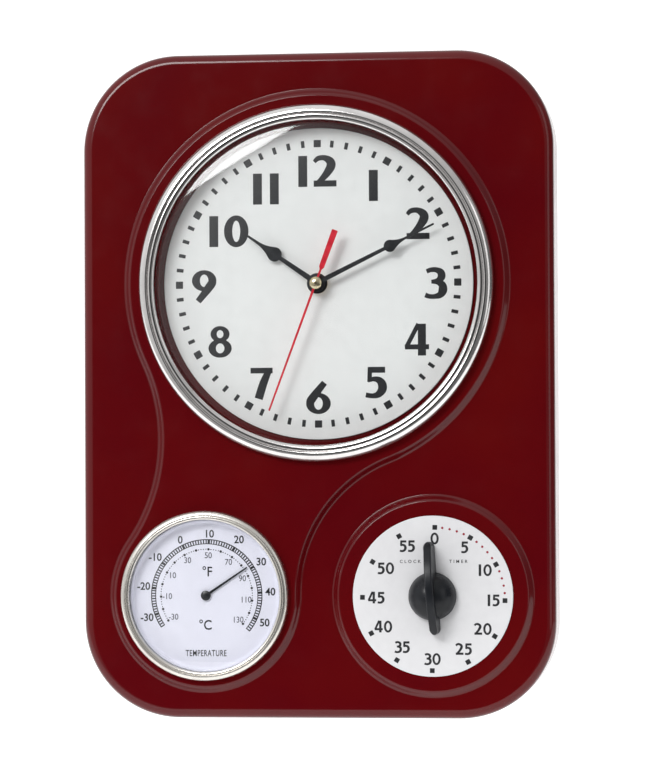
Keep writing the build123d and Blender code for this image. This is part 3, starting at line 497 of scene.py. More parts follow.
def arc(centre_x, centre_y, radius, start, end, step=3.0):
    count = max(2, math.ceil(abs(end - start) / step))
    angles = [start + (end - start) * index / count for index in range(count + 1)]
    return [on_circle(centre_x, centre_y, radius, angle) for angle in angles]


def dial_point(spot, radius, angle):
    """A point at a dial angle, degrees clockwise from the top."""
    return on_circle(spot[0], spot[1], radius, 90 - angle)


def turned(points, spot, angle):
    """Points drawn about the origin, turned clockwise by angle and moved to spot."""
    c, s = cos(radians(angle)), sin(radians(angle))
    return [(spot[0] + x * c + y * s, spot[1] - x * s + y * c) for x, y in points]


def curve(start, pull, end, parts=8):
    """A smooth bend from start to end, pulled towards a third point."""
    points = []
    for index in range(parts + 1):
        t = index / parts
        shares = ((start, (1 - t) ** 2), (pull, 2 * t * (1 - t)), (end, t * t))
        points.append(tuple(sum(share * point[axis] for point, share in shares) for axis in (0, 1)))
    return points


def softened(points, radius, parts=4):
    """A closed outline with each corner rounded."""
    rounded = []
    for index, corner in enumerate(points):
        corner = Vector(corner)
        ends = []
        for other in (points[index - 1], points[(index + 1) % len(points)]):
            way = Vector(other) - corner
            ends.append(corner + way * min(radius / way.length, 0.48))
        rounded += curve(ends[0], corner, ends[1], parts)
    return rounded


def smooth_path(points, parts=7):
    """A curve through points of (x, y, width)."""
    padded = [points[0], *points, points[-1]]
    path = []
    for index in range(len(points) - 1):
        a, b, c, d = (Vector(point) for point in padded[index : index + 4])
        for step in range(parts):
            t = step / parts
            bend = (2 * a - 5 * b + 4 * c - d) * t * t + (3 * b - a - 3 * c + d) * t**3
            path.append((2 * b + (c - a) * t + bend) / 2)
    path.append(Vector(points[-1]))
    return path


# ---------------------------------------------------------------- shapes
class Shape:
    """Points and faces in millimetres, seen from the front, with a finish for each face."""

    def __init__(self):
        self.points = []
        self.faces = []
        self.paints = []

    def add(self, points, faces, paint=0):
        start = len(self.points)
        self.points += points
        self.faces += [[start + corner for corner in face] for face in faces]
        self.paints += [paint] * len(faces)

    def bridge(self, loops, caps=False):
        """Join closed loops of equal count, from the back outside to the front inside."""
        count = len(loops[0])
        faces = []
        for row in range(len(loops) - 1):
            for index in range(count):
                after = (index + 1) % count
                corners = (row * count + index, row * count + after)
                faces.append((*corners, corners[1] + count, corners[0] + count))
        if caps:
            faces.append(tuple(reversed(range(count))))
            faces.append(tuple(range((len(loops) - 1) * count, len(loops) * count)))
        self.add([point for loop in loops for point in loop], faces)

    def lathe(self, spot, profile, steps=ROUND_STEPS, closed=True):
        """Turn an outline of (radius, z) about the axis through spot."""
        rows = [*profile, profile[0]] if closed else profile
        loops = []
        for radius, z in rows:
            ring = [on_circle(spot[0], spot[1], radius, 360 * step / steps) for step in range(steps)]
            loops.append([(x, y, z) for x, y in ring])
        self.bridge(loops)

    def plate(self, outline, low, high, edge=0.0):
        """A flat piece with rounded rims, cut to an outline that runs anticlockwise."""
        if not edge:
            self.bridge([[(x, y, z) for x, y in outline] for z in (low, high)], caps=True)
            return
        levels = []
        for turn in (0, 30, 60, 90):
            levels.append((edge * (1 - sin(radians(turn))), low + edge * (1 - cos(radians(turn)))))
        levels += [(inset, low + high - z) for inset, z in reversed(levels)]
        loops = []
        for inset, z in levels:
            loops.append([(x, y, z) for x, y in inset_outline(outline, inset)])
        self.bridge(loops, caps=True)

    def ribbon(self, path, low, high):
        """A flat strip along points of (x, y, width)."""
        left, right = [], []
        for index, point in enumerate(path):
            ahead = path[min(index + 1, len(path) - 1)]
            behind = path[max(index - 1, 0)]
            way = Vector((ahead[0] - behind[0], ahead[1] - behind[1])).normalized()
            half = point[2] / 2
            left.append((point[0] - way.y * half, point[1] + way.x * half))
            right.append((point[0] + way.y * half, point[1] - way.x * half))
        count = len(path)
        points = [(x, y, z) for z in (low, high) for side in (right, left) for x, y in side]
        faces = [(0, count, 3 * count, 2 * count)]
        faces.append((count - 1, 3 * count - 1, 4 * count - 1, 2 * count - 1))
        for index in range(count - 1):
            for a, b in ((0, 1), (1, 3), (3, 2), (2, 0)):
                start, end = a * count + index, b * count + index
                faces.append((start, end, end + 1, start + 1))
        self.add(points, faces)

    def ring(self, spot, outer, inner, low, high, steps=36):
        """A flat ring; outer and inner are its (x, y) half sizes."""
        loops = []
        for (half_x, half_y), z in ((outer, low), (outer, high), (inner, high), (inner, low), (outer, low)):
            turns = [tau * step / steps for step in range(steps)]
            loops.append([(spot[0] + half_x * cos(t), spot[1] + half_y * sin(t), z) for t in turns])
        self.bridge(loops)

    def lettering(self, text, spot, height, low, high, width=1.0, spacing=1.0, bold=0.0, paint=0):
        """Printed words in the built-in plain face, centred on spot."""
        letters = bpy.data.curves.new("lettering", "FONT")
        letters.body = text
        letters.align_x = "CENTER"
        letters.align_y = "CENTER"
        letters.space_character = spacing
        letters.offset = bold
        letters.resolution_u = 4
        carrier = bpy.data.objects.new("lettering", letters)
        mesh = bpy.data.meshes.new_from_object(carrier)
        scale = height / CAPITAL_HEIGHT
        flat = [(spot[0] + v.co.x * scale * width, spot[1] + v.co.y * scale) for v in mesh.vertices]
        count = len(flat)
        faces = [tuple(polygon.vertices) for polygon in mesh.polygons]
        points = [(x, y, z) for z in (low, high) for x, y in flat]
        uses = {}
        for face in faces:
            uses.update(dict.fromkeys(zip(face, face[1:] + face[:1])))
        walls = [(a, b, b + count, a + count) for a, b in uses if (b, a) not in uses]
        back = [tuple(reversed(face)) for face in faces]
        front = [tuple(corner + count for corner in face) for face in faces]
        self.add(points, back + front + walls, paint)
        bpy.data.objects.remove(carrier)
        bpy.data.meshes.remove(mesh)


def inset_outline(outline, inset):
    """The outline drawn inwards; it runs anticlockwise."""
    drawn = []
    for index, (x, y) in enumerate(outline):
        before = Vector((x, y)) - Vector(outline[index - 1])
        after = Vector(outline[(index + 1) % len(outline)]) - Vector((x, y))
        way = before.normalized() + after.normalized()
        way = way.normalized()
        drawn.append((x - way.y * inset, y + way.x * inset))
    return drawn


def make_piece(name, shape, body, slot, replaced=(), finishes=None, solid=True, sharp=32.0):
    """Turn a shape into an object that rides on a body and takes a finish from a slot."""
    mesh = bpy.data.meshes.new(name)
    mesh.from_pydata([stand(point) for point in shape.points], [], shape.faces)
    mesh.polygons.foreach_set("material_index", shape.paints)
    work = bmesh.new()
    work.from_mesh(mesh)
    bmesh.ops.remove_doubles(work, verts=work.verts, dist=1e-6)
    if solid:
        bmesh.ops.recalc_face_normals(work, faces=work.faces)
    for face in work.faces:
        face.smooth = True
    for edge in work.edges:
        edge.smooth = edge.is_manifold and edge.calc_face_angle(0.0) < radians(sharp)
    work.to_mesh(mesh)
    work.free()
    for finish in finishes or [slot]:
        mesh.materials.append(finished(finish))
    piece = bpy.data.objects.new(name, mesh)
    bpy.context.scene.collection.objects.link(piece)
    even = piece.modifiers.new("even_shading", "WEIGHTED_NORMAL")
    even.keep_sharp = True
    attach(piece, body)
    if replaced:
        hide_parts(*replaced)
    return piece


# ---------------------------------------------------------------- case
WAIST_RADII = {-1: 90.0, 1: 71.0}
CLOCK_FIELD = 99.0
THERMO_FIELD = 49.5
TIMER_FIELD = 51.5
FIELD_STEPS = {"big": 300, "hollow": 60, "small": 120}
SLOPE_STEPS = 14
EDGE_STEPS = 10
WELL = Spot("clock_lens").radius - 3.0
WELL_CORNER = 1.5
CUP_LIP = 3.1
HAND_HOLE = 3.6
TIMER_HOLE = 3.7


class Field:
    """The raised field round two circles, joined by a hollow arc on each side."""

    def __init__(self, big, big_radius, small, small_radius):
        self.big, self.big_radius = Vector(big), big_radius
        self.small, self.small_radius = Vector(small), small_radius
        gap = self.small - self.big
        self.heading = math.degrees(math.atan2(gap.y, gap.x))
        self.waists = {side: self.waist(gap.length, side) for side in (-1, 1)}

    def waist(self, distance, side):
        """Centre of the hollow arc on one side, and its dial headings from both circles."""
        to_big = self.big_radius + WAIST_RADII[side]
        to_small = self.small_radius + WAIST_RADII[side]
        swing = math.degrees(math.acos((distance**2 + to_big**2 - to_small**2) / (2 * distance * to_big)))
        heading = self.heading + side * swing
        return Vector(on_circle(*self.big, to_big, heading)), heading

    def loop(self, inset):
        """The outline drawn inwards by inset, anticlockwise, always with as many points."""
        (left, left_heading), (right, right_heading) = self.waists[-1], self.waists[1]
        start, end = self.angle(left - self.small), self.angle(right - self.small)
        if end < start:
            end += 360
        big, small = self.big_radius - inset, self.small_radius - inset
        points = spread_arc(self.big, big, right_heading, left_heading + 360, FIELD_STEPS["big"])
        points += self.hollow(left, WAIST_RADII[-1] + inset, self.big, self.small)
        points += spread_arc(self.small, small, start, end, FIELD_STEPS["small"])
        points += self.hollow(right, WAIST_RADII[1] + inset, self.small, self.big)
        return points

    def hollow(self, centre, radius, start_side, end_side):
        """The hollow arc between two circles, the short way round."""
        start = self.angle(start_side - centre)
        end = self.angle(end_side - centre)
        if end - start > 180:
            end -= 360
        if start - end > 180:
            end += 360
        return spread_arc(centre, radius, start, end, FIELD_STEPS["hollow"])

    def angle(self, way):
        return math.degrees(math.atan2(way.y, way.x))

    def depth(self, point):
        """How far inside the outline a point lies; negative outside."""
        point = Vector(point)
        inside = max(
            self.big_radius - (point - self.big).length, self.small_radius - (point - self.small).length
        )
        for side, (centre, _) in self.waists.items():
            if in_triangle(point, self.big, centre, self.small):
                inside = max(inside, (point - centre).length - WAIST_RADII[side])
        return inside


def spread_arc(centre, radius, start, end, count=ROUND_STEPS):
    """Evenly spread points of an arc, without its last one."""
    step = (end - start) / count
    return [on_circle(centre[0], centre[1], radius, start + step * index) for index in range(count)]


def in_triangle(point, a, b, c):
    turns = []
    for start, end in ((a, b), (b, c), (c, a)):
        turns.append((end - start).cross(point - start) > 0)
    return turns[0] == turns[1] == turns[2]


def rounded_rectangle(half_width, half_height, corner):
    points = []
    for quarter, (side_x, side_y) in enumerate(((1, 1), (-1, 1), (-1, -1), (1, -1))):
        spot = (side_x * (half_width - corner), side_y * (half_height - corner))
        points += arc(*spot, corner, 90 * quarter, 90 * quarter + 90, 3.0)
    return points


def fill_between(shape, loops, z, wanted):
    """Flat faces between closed loops, where wanted(x, y) is true."""
    points, edges = [], []
    for loop in loops:
        start, count = len(points), len(loop)
        points += [Vector(point) for point in loop]
        edges += [(start + index, start + (index + 1) % count) for index in range(count)]
    found, _, faces, *_ = delaunay_2d_cdt(points, edges, [], 0, 1e-6)
    kept = []
    for face in faces:
        a, b, c = (found[corner] for corner in face)
        if wanted((a + b + c) / 3):
            kept.append(face if (b - a).cross(c - a) > 0 else tuple(reversed(face)))
    shape.add([(x, y, z) for x, y in found], kept)


class BuildCase(bpy.types.Operator):
    """Build the pressed case with its raised fields and the clock's well"""

    bl_idname = "kitchen_clock.case"
    bl_label = "Case"

    def execute(self, context):
        look = context.scene.clock_case
        shape = Shape()
        panel = CASE.front - look.rise
        half_width, half_height = CASE.radius, CASE.half_height
        loops = []
        for inset, z in self.wall_profile(look, CASE.back, panel):
            outline = rounded_rectangle(half_width - inset, half_height - inset, look.corner - inset)
            loops.append([(x, y, z) for x, y in outline])
        shape.bridge(loops)
        border = [(x, y) for x, y, _ in loops[-1]]

        field = Field((CLOCK.x, CLOCK.y), CLOCK_FIELD, (THERMO.x, THERMO.y), THERMO_FIELD)
        timer = (TIMER.x, TIMER.y)
        for loop_at in (field.loop, lambda inset: spread_arc(timer, TIMER_FIELD - inset, 0, 360)):
            slope = []
            for index in range(SLOPE_STEPS + 1):
                t = index / SLOPE_STEPS
                z = panel + look.rise * t * t * (3 - 2 * t)
                slope.append([(x, y, z) for x, y in loop_at(look.slope * t)])
            shape.bridge(slope)
        foot, crest = field.loop(0.0), field.loop(look.slope)
        timer_foot = spread_arc(timer, TIMER_FIELD, 0, 360)
        fill_between(
            shape, [border, foot, timer_foot], panel,
            lambda p: field.depth(p) < 0 and (p - Vector(timer)).length > TIMER_FIELD,
        )

        top = panel + look.rise
        well = spread_arc((CLOCK.x, CLOCK.y), WELL, 0, 360)
        mouth = THERMO.radius - CUP_LIP
        cup_hole = spread_arc((THERMO.x, THERMO.y), mouth, 0, 360)
        clock_centre, thermo_centre = Vector((CLOCK.x, CLOCK.y)), Vector((THERMO.x, THERMO.y))
        fill_between(
            shape, [crest, well, cup_hole], top,
            lambda p: field.depth(p) > look.slope
            and (p - clock_centre).length > WELL
            and (p - thermo_centre).length > mouth,
        )
        floor = Spot("clock_dial").back
        corner = curve((WELL, floor + WELL_CORNER), (WELL, floor), (WELL - WELL_CORNER, floor), 5)
        shape.lathe((CLOCK.x, CLOCK.y), [(WELL, top), *corner, (HAND_HOLE, floor)], closed=False)
        shape.lathe(timer, [(TIMER_FIELD - look.slope, top), (TIMER_HOLE, top)], closed=False)
        case = make_piece("case_shell", shape, "case", "enamel", ["front_case"], solid=False, sharp=50)
        wall = case.modifiers.new("sheet", "SOLIDIFY")
        wall.thickness = look.sheet * MM
        wall.offset = -1.0
        case.modifiers.move(1, 0)
        return {"FINISHED"}

    def wall_profile(self, look, back, panel):
        """Insets and heights from the rim, up the wall and round the front edge."""
        profile = [(0.0, back), (0.0, panel - look.edge)]
        for step in range(1, EDGE_STEPS + 1):
            turn = step / EDGE_STEPS * pi / 2
            profile.append((look.edge * (1 - cos(turn)), panel - look.edge * (1 - sin(turn))))
        return profile


# ---------------------------------------------------------------- bezels, lenses and dials
def dome(radius, rim, top, parts=48):
    """A profile from the rim to the axis of a shallow dome."""
    rise = top - rim
    ball = (radius**2 + rise**2) / (2 * rise)
    points = []
    for index in range(parts + 1):
        r = radius * (1 - index / parts)
        points.append((r, top - ball + sqrt(ball**2 - r**2)))
    return points


class BuildBezels(bpy.types.Operator):
    """Turn the two plated bezels"""

    bl_idname = "kitchen_clock.bezels"
    bl_label = "Bezels"

    def execute(self, context):
        inner = Spot("clock_lens").radius - 3.5
        self.ring("clock_bezel_ring", "clock_bezel", CLOCK, inner, 2.2, "chrome")
        inner = Spot("thermo_lens").radius - 3.2
        self.ring("thermometer_bezel_ring", "thermo_bezel", THERMO, inner, 2.5, "warm_chrome")
        return {"FINISHED"}

    def ring(self, name, node, spot, inner, flange, finish):
        """A rounded outer bead, a groove and a low inner bead over the lens's edge."""
        outer, foot, top = spot.radius, spot.back, spot.front
        width = outer - inner
        shoulder = foot + flange
        groove = outer - 0.58 * width
        crest = groove + 0.06 * width
        profile = [(outer - 0.55 * width, foot), (outer - 0.2, foot), (outer, foot + 0.2)]
        for step in range(17):
            turn = pi / 2 * step / 16
            profile.append((crest + (outer - crest) * cos(turn), shoulder + (top - shoulder) * sin(turn)))
        dip = shoulder + (top - shoulder) * 0.62
        profile += curve((groove + 0.02 * width, top - 0.15), (groove, top - 0.3), (groove, dip), 4)
        middle, half = (groove + inner) / 2, (groove - inner) / 2
        for step in range(1, 17):
            turn = pi * step / 16
            lift = (top - dip) * 0.62 * sin(turn)
            profile.append((middle + half * cos(turn), dip + lift - 0.5 * step / 16))
        under = shoulder - 0.5
        profile += [(inner, under + 0.2), (inner + 0.2, under), (outer - 0.55 * width, under)]
        shape = Shape()
        shape.lathe((spot.x, spot.y), profile, 256)
        make_piece(name, shape, "case", "chrome", [node], [finish])


class BuildLenses(bpy.types.Operator):
    """Turn the two domed lenses"""

    bl_idname = "kitchen_clock.lenses"
    bl_label = "Lenses"

    def execute(self, context):
        for name, node, edge, thickness in (
            ("clock_lens_glass", "clock_lens", 4.0, 1.6),
            ("thermometer_lens_glass", "thermo_lens", 3.4, 1.2),
        ):
            spot = Spot(node)
            rim = spot.radius - edge
            edge_front = spot.back + thickness
            outer = dome(rim, edge_front, spot.front)
            inner = dome(rim, spot.back, spot.front - thickness)
            edge_points = [(spot.radius, spot.back), (spot.radius, edge_front)]
            profile = [*edge_points, *outer, *reversed(inner)]
            shape = Shape()
            shape.lathe((spot.x, spot.y), profile)
            make_piece(name, shape, "case", "lens", [node])
        return {"FINISHED"}


class BuildDials(bpy.types.Operator):
    """Make the three dial cards"""

    bl_idname = "kitchen_clock.dials"
    bl_label = "Dials"

    def execute(self, context):
        clock, timer, thermo = Spot("clock_dial"), Spot("timer_dial"), Spot("thermo_dial")
        self.disc("clock_dial_card", "clock_dial", clock, 3.5, "white_print")
        self.disc("timer_dial_card", "timer_dial", timer, TIMER_HOLE, "timer_print")
        lip = Spot("thermo_lens").back - 1.6
        edge, low, high = thermo.radius, thermo.back, thermo.front
        rise = curve((edge - 2.6, high), (edge - 0.7, high), (edge - 0.5, lip), 8)
        under = [(1.0, low), (edge - 0.4, low), (edge, low + 0.5), (edge, lip)]
        profile = [*under, *reversed(rise), (1.0, high)]
        shape = Shape()
        shape.lathe((thermo.x, thermo.y), profile)
        make_piece("thermometer_dial_card", shape, "case", "cool_print", ["thermo_dial"])
        return {"FINISHED"}

    def disc(self, name, node, spot, hole, slot):
        edge = 0.25
        rim, front = spot.radius, spot.front
        profile = [(hole, spot.back), (rim, spot.back)]
        profile += curve((rim, front - edge), (rim, front), (rim - edge, front), 4)
        profile += [(hole, front)]
        shape = Shape()
        shape.lathe((spot.x, spot.y), profile)
        make_piece(name, shape, "case", slot, [node])


# ---------------------------------------------------------------- numerals
# Digits are drawn one unit high from their lower left corner. A ring is its centre, then its outer and inner
# half sizes; a stroke is points of (x, y, width). A style is the strokes' contrast and the digits' squeeze.
DIGIT_WIDTHS = {
    "0": 0.8, "1": 0.29, "2": 0.76, "3": 0.66, "4": 0.78,
    "5": 0.68, "6": 0.8, "7": 0.72, "8": 0.76, "9": 0.8,
}
DIGIT_GAP = 0.12
STEM_BEARING = 0.07
EVEN_STROKE = 0.185
BOLD_STYLE = (1.0, 1.0)
LIGHT_STYLE = (0.3, 0.9)

RINGS = {
    "0": [(0.4, 0.5, 0.4, 0.515, 0.13, 0.345)],
    "6": [(0.4, 0.33, 0.4, 0.34, 0.14, 0.2)],
    "8": [(0.38, 0.75, 0.31, 0.26, 0.11, 0.13), (0.38, 0.29, 0.38, 0.3, 0.14, 0.16)],
}
STROKES = {
    "1": [[(0.145, 0.0, 0.29), (0.145, 1.0, 0.29)]],
    "2": [
        [(0.04, 0.8, 0.12), (0.16, 0.91, 0.16), (0.36, 0.93, 0.18), (0.55, 0.82, 0.27), (0.58, 0.66, 0.29),
         (0.44, 0.42, 0.24), (0.26, 0.22, 0.18), (0.08, 0.05, 0.14)],
        [(0.02, 0.1, 0.2), (0.76, 0.1, 0.2)],
    ],
    "3": [
        [(0.07, 0.87, 0.14), (0.2, 0.92, 0.15), (0.38, 0.92, 0.17), (0.53, 0.83, 0.24), (0.54, 0.68, 0.25),
         (0.42, 0.57, 0.17), (0.22, 0.54, 0.12)],
        [(0.22, 0.54, 0.12), (0.42, 0.53, 0.17), (0.57, 0.43, 0.25), (0.59, 0.26, 0.28), (0.5, 0.12, 0.22),
         (0.34, 0.07, 0.16), (0.16, 0.07, 0.15), (0.02, 0.12, 0.16)],
    ],
    "4": [
        [(0.44, 1.02, 0.14), (0.05, 0.28, 0.14)],
        [(0.0, 0.28, 0.16), (0.78, 0.28, 0.16)],
        [(0.55, 0.0, 0.26), (0.55, 1.02, 0.26)],
    ],
    "5": [
        [(0.17, 0.98, 0.15), (0.15, 0.52, 0.14)],
        [(0.1, 0.905, 0.19), (0.66, 0.905, 0.19)],
        [(0.1, 0.56, 0.12), (0.28, 0.61, 0.15), (0.46, 0.57, 0.22), (0.56, 0.44, 0.28), (0.56, 0.27, 0.28),
         (0.44, 0.12, 0.22), (0.26, 0.07, 0.16), (0.03, 0.1, 0.16)],
    ],
    "6": [[(0.6, 1.0, 0.2), (0.42, 0.78, 0.23), (0.25, 0.56, 0.27), (0.14, 0.4, 0.27), (0.13, 0.3, 0.2)]],
    "7": [
        [(0.0, 0.91, 0.18), (0.72, 0.91, 0.18)],
        [(0.6, 0.92, 0.2), (0.42, 0.5, 0.26), (0.26, 0.0, 0.27)],
    ],
}


def draw_digit(shape, digit, corner, height, style, low, high):
    """One digit with its lower left corner at corner."""
    contrast, squeeze = style
    flipped = digit == "9"
    glyph = "6" if flipped else digit
    width = DIGIT_WIDTHS[glyph]

    def placed(x, y):
        if flipped:
            x, y = width - x, 1 - y
        return corner[0] + x * height * squeeze, corner[1] + y * height

    def stroke_width(thick):
        return thick * contrast + EVEN_STROKE * (1 - contrast)

    level = high
    for x, y, outer_x, outer_y, inner_x, inner_y in RINGS.get(glyph, []):
        outer = (outer_x * height * squeeze, outer_y * height)
        sides = (stroke_width(outer_x - inner_x), stroke_width(outer_y - inner_y))
        inner = (outer[0] - sides[0] * height * squeeze, outer[1] - sides[1] * height)
        shape.ring(placed(x, y), outer, inner, low, level)
        level += PRINT_LAYER
    for stroke in STROKES.get(glyph, []):
        points = []
        for x, y, thick in stroke:
            points.append((*placed(x, y), stroke_width(thick) * height))
        path = points if len(points) == 2 else smooth_path(points)
        shape.ribbon(path, low, level)
        level += PRINT_LAYER


def draw_number(shape, text, spot, height, style, low, high):
    """A number centred on spot."""
    pens = []
    x = 0.0
    for index, digit in enumerate(text):
        bearing = STEM_BEARING if digit == "1" else 0.0
        x += bearing if index else 0.0
        pens.append(x)
        x += DIGIT_WIDTHS[digit] + bearing + DIGIT_GAP
    total = x - DIGIT_GAP - (STEM_BEARING if text[-1] == "1" else 0.0)
    for digit, pen in zip(text, pens):
        corner = (spot[0] + (pen - total / 2) * height * style[1], spot[1] - height / 2)
        draw_digit(shape, digit, corner, height, style, low, high)


def mark(shape, spot, radius, angle, across, along, low, high):
    """A small printed block at a dial angle, square to the dial's edge."""
    half_x, half_y = across / 2, along / 2
    corners = [(-half_x, -half_y), (half_x, -half_y), (half_x, half_y), (-half_x, half_y)]
    outline = softened(corners, min(across, along) * 0.08, 2)
    shape.plate(turned(outline, dial_point(spot, radius, angle), angle), low, high)


def dot(shape, spot, radius, angle, size, low, high):
    centre = dial_point(spot, radius, angle)
    shape.plate(arc(*centre, size, 0, 330, 30), low, high)


# Where a number stands off the even circle: its radius in millimetres and its lean in degrees.
HOUR_PLACES = {
    1: (57.3, 0.0), 2: (59.3, -0.3), 3: (59.7, 0.3), 9: (58.6, -0.5),
    10: (53.2, 0.8), 11: (55.4, 1.4), 12: (57.3, 0.0),
}
EVEN_HOUR = (58.3, 0.0)
MINUTE_TRACK = 71.4


class BuildClockPrint(bpy.types.Operator):
    """Print the hour numerals and the minute track"""

    bl_idname = "kitchen_clock.clock_print"
    bl_label = "Clock print"

    def execute(self, context):
        look = context.scene.clock_dials
        card_front = Spot("clock_dial").front
        low, high = card_front - PRINT_SINK, card_front + PRINT_PROUD
        spot = (CLOCK.x, CLOCK.y)
        numerals = Shape()
        for hour in range(1, 13):
            radius, lean = HOUR_PLACES.get(hour, EVEN_HOUR)
            place = dial_point(spot, radius, hour * 30 + lean)
            draw_number(numerals, str(hour), place, look.numeral, BOLD_STYLE, low, high)
        make_piece("clock_numerals", numerals, "case", "white_print", finishes=["dark_ink"])
        track = Shape()
        for minute in range(60):
            across, along = (3.7, 3.7) if minute % 5 == 0 else (1.8, 3.5)
            mark(track, spot, MINUTE_TRACK, minute * 6, across, along, low, high)
        make_piece("clock_minute_track", track, "case", "white_print", finishes=["dark_ink"])
        return {"FINISHED"}


def thermo_angle(celsius):
    """The dial angle of a temperature."""
    return 2.5 + 2.815 * (celsius - 10)


def fahrenheit_angle(degrees_f):
    return thermo_angle((degrees_f - 32) / 1.8)


class BuildThermometerPrint(bpy.types.Operator):
    """Print the thermometer's two scales and its words"""

    bl_idname = "kitchen_clock.thermometer_print"
    bl_label = "Thermometer print"

    def execute(self, context):
        card_front = Spot("thermo_dial").front
        low, high = card_front - PRINT_SINK, card_front + PRINT_PROUD
        spot = (THERMO.x + 0.3, THERMO.y)
        self.ladder(spot, low, high)
        self.dots(spot, low, high)
        self.words(spot, low, high)
        return {"FINISHED"}

    def ladder(self, spot, low, high):
        """The closed ring with a rung for each degree Celsius."""
        shape = Shape()
        first, last = thermo_angle(-35), thermo_angle(55)
        for radius, thick in ((28.4, 0.5), (26.3, 0.4)):
            angles = [first + (last - first) * step / 180 for step in range(181)]
            shape.ribbon([(*dial_point(spot, radius, angle), thick) for angle in angles], low, high)
        for celsius in range(-35, 56):
            wide = 1.2 if celsius % 10 == 0 else 0.6
            mark(shape, spot, 27.35, thermo_angle(celsius), wide, 2.5, low, high + PRINT_LAYER)
        make_piece("thermometer_scale_ring", shape, "case", "cool_print", finishes=["dark_ink"])

    def dots(self, spot, low, high):
        shape = Shape()
        for fahrenheit in range(-30, 131, 2):
            size = 0.64 if fahrenheit % 10 == 0 else 0.28
            dot(shape, spot, 23.5, fahrenheit_angle(fahrenheit), size, low, high)
        make_piece("thermometer_dots", shape, "case", "cool_print", finishes=["dark_ink"])

    def words(self, spot, low, high):
        shape = Shape()
        for celsius in range(-30, 51, 10):
            radius = 31.2 if celsius in (0, 10) else 32.8
            place = dial_point(spot, radius, thermo_angle(celsius))
            shape.lettering(str(celsius), place, 3.9, low, high, width=0.95, bold=0.018)
        for fahrenheit in (-30, -10, 10, 30, 50, 70, 90, 110, 130):
            place = dial_point(spot, 20.3, fahrenheit_angle(fahrenheit))
            shape.lettering(str(fahrenheit), place, 3.1, low, high, width=0.9, bold=0.004, paint=1)
        for unit, right, up in (("°F", 0.3, 11.9), ("°C", -0.7, -15.2)):
            shape.lettering(unit, (spot[0] + right, spot[1] + up), 5.0, low, high, width=0.9, bold=0.01)
        place = (spot[0] - 0.4, spot[1] - 29.4)
        narrow = {"width": 0.66, "spacing": 1.12, "bold": 0.012}
        shape.lettering("TEMPERATURE", place, 3.2, low, high, **narrow)
        finishes = ["dark_ink", "grey_ink"]
        make_piece("thermometer_lettering", shape, "case", "cool_print", finishes=finishes)


TIMER_PRINT_TURN = 1.3
TIMER_PRINT_SHIFT = (0.4, -1.4)
MINUTE_PLACES = {
    0: (30.4, 0.0), 5: (30.4, 0.0), 10: (29.8, -0.3), 15: (30.2, 0.0), 25: (29.3, -2.2), 30: (30.2, 0.0),
    35: (29.0, 2.2), 50: (28.6, 1.4), 55: (29.7, 2.3),
}
EVEN_MINUTE = (29.0, 0.0)
TIMER_TRACK = 36.0


class BuildTimerPrint(bpy.types.Operator):
    """Print the timer's minutes, marks and words"""

    bl_idname = "kitchen_clock.timer_print"
    bl_label = "Timer print"

    def execute(self, context):
        look = context.scene.clock_dials
        card_front = Spot("timer_dial").front
        low, high = card_front - PRINT_SINK, card_front + PRINT_PROUD
        spot = (TIMER.x + TIMER_PRINT_SHIFT[0], TIMER.y + TIMER_PRINT_SHIFT[1])
        numbers, marks, dots = Shape(), Shape(), Shape()
        for minute in range(60):
            angle = minute * 6 + TIMER_PRINT_TURN
            if minute % 5 == 0:
                mark(marks, spot, TIMER_TRACK, angle, 2.4, 2.4, low, high)
                radius, lean = MINUTE_PLACES.get(minute, EVEN_MINUTE)
                place = dial_point(spot, radius, angle + lean)
                draw_number(numbers, str(minute), place, look.minute_numeral, LIGHT_STYLE, low, high)
            elif minute < 15:
                dot(dots, spot, TIMER_TRACK, angle, 0.6, low, high)
        for word, offset in (("CLOCK", -11.3), ("TIMER", 13.0)):
            place = (TIMER.x + offset, TIMER.y + 17.4)
            numbers.lettering(word, place, 1.6, low, high, spacing=1.7, bold=0.012)
        make_piece("timer_numbers", numbers, "case", "timer_print", finishes=["dark_ink"])
        make_piece("timer_marks", marks, "case", "timer_print", finishes=["dark_ink"])
        make_piece("timer_red_dots", dots, "case", "timer_print", finishes=["red_ink"])
        return {"FINISHED"}


# ---------------------------------------------------------------- hands and knob
def spade(hub, root, neck, bulb, bulb_radius, waist, reach, needle):
    """A hand pointing up: hub, tapering stem, bulb, hollow shoulders and needle."""
    foot = math.degrees(math.asin(root / 2 / hub))
    right = arc(0, 0, hub, -90, 90 - foot, 10)
    start = math.degrees(math.asin(neck / 2 / bulb_radius))
    right += arc(0, bulb, bulb_radius, -90 + start, 30, 10)
    shoulder = right[-1]
    pull = (needle / 2, shoulder[1] + (waist - shoulder[1]) * 0.45)
    right += curve(shoulder, pull, (needle / 2, waist), 10)[1:]
    right += curve((needle * 0.42, reach - 0.3), (needle * 0.4, reach), (0, reach), 3)
    left = [(-x, y) for x, y in reversed(right[1:-1])]
    return right + left


def sweep_hand(reach):
    """The second hand: needle, pivot disc and broad tail."""
    right = [(0, -28.5), (1.3, -28.5), (1.55, -28.2), (1.3, -8.6), (0.5, -7.2)]
    right += arc(0, 0, 2.4, -78, 76, 12)
    right += [(0.42, reach - 0.2), (0.15, reach)]
    return right + [(-x, y) for x, y in reversed(right[1:])]


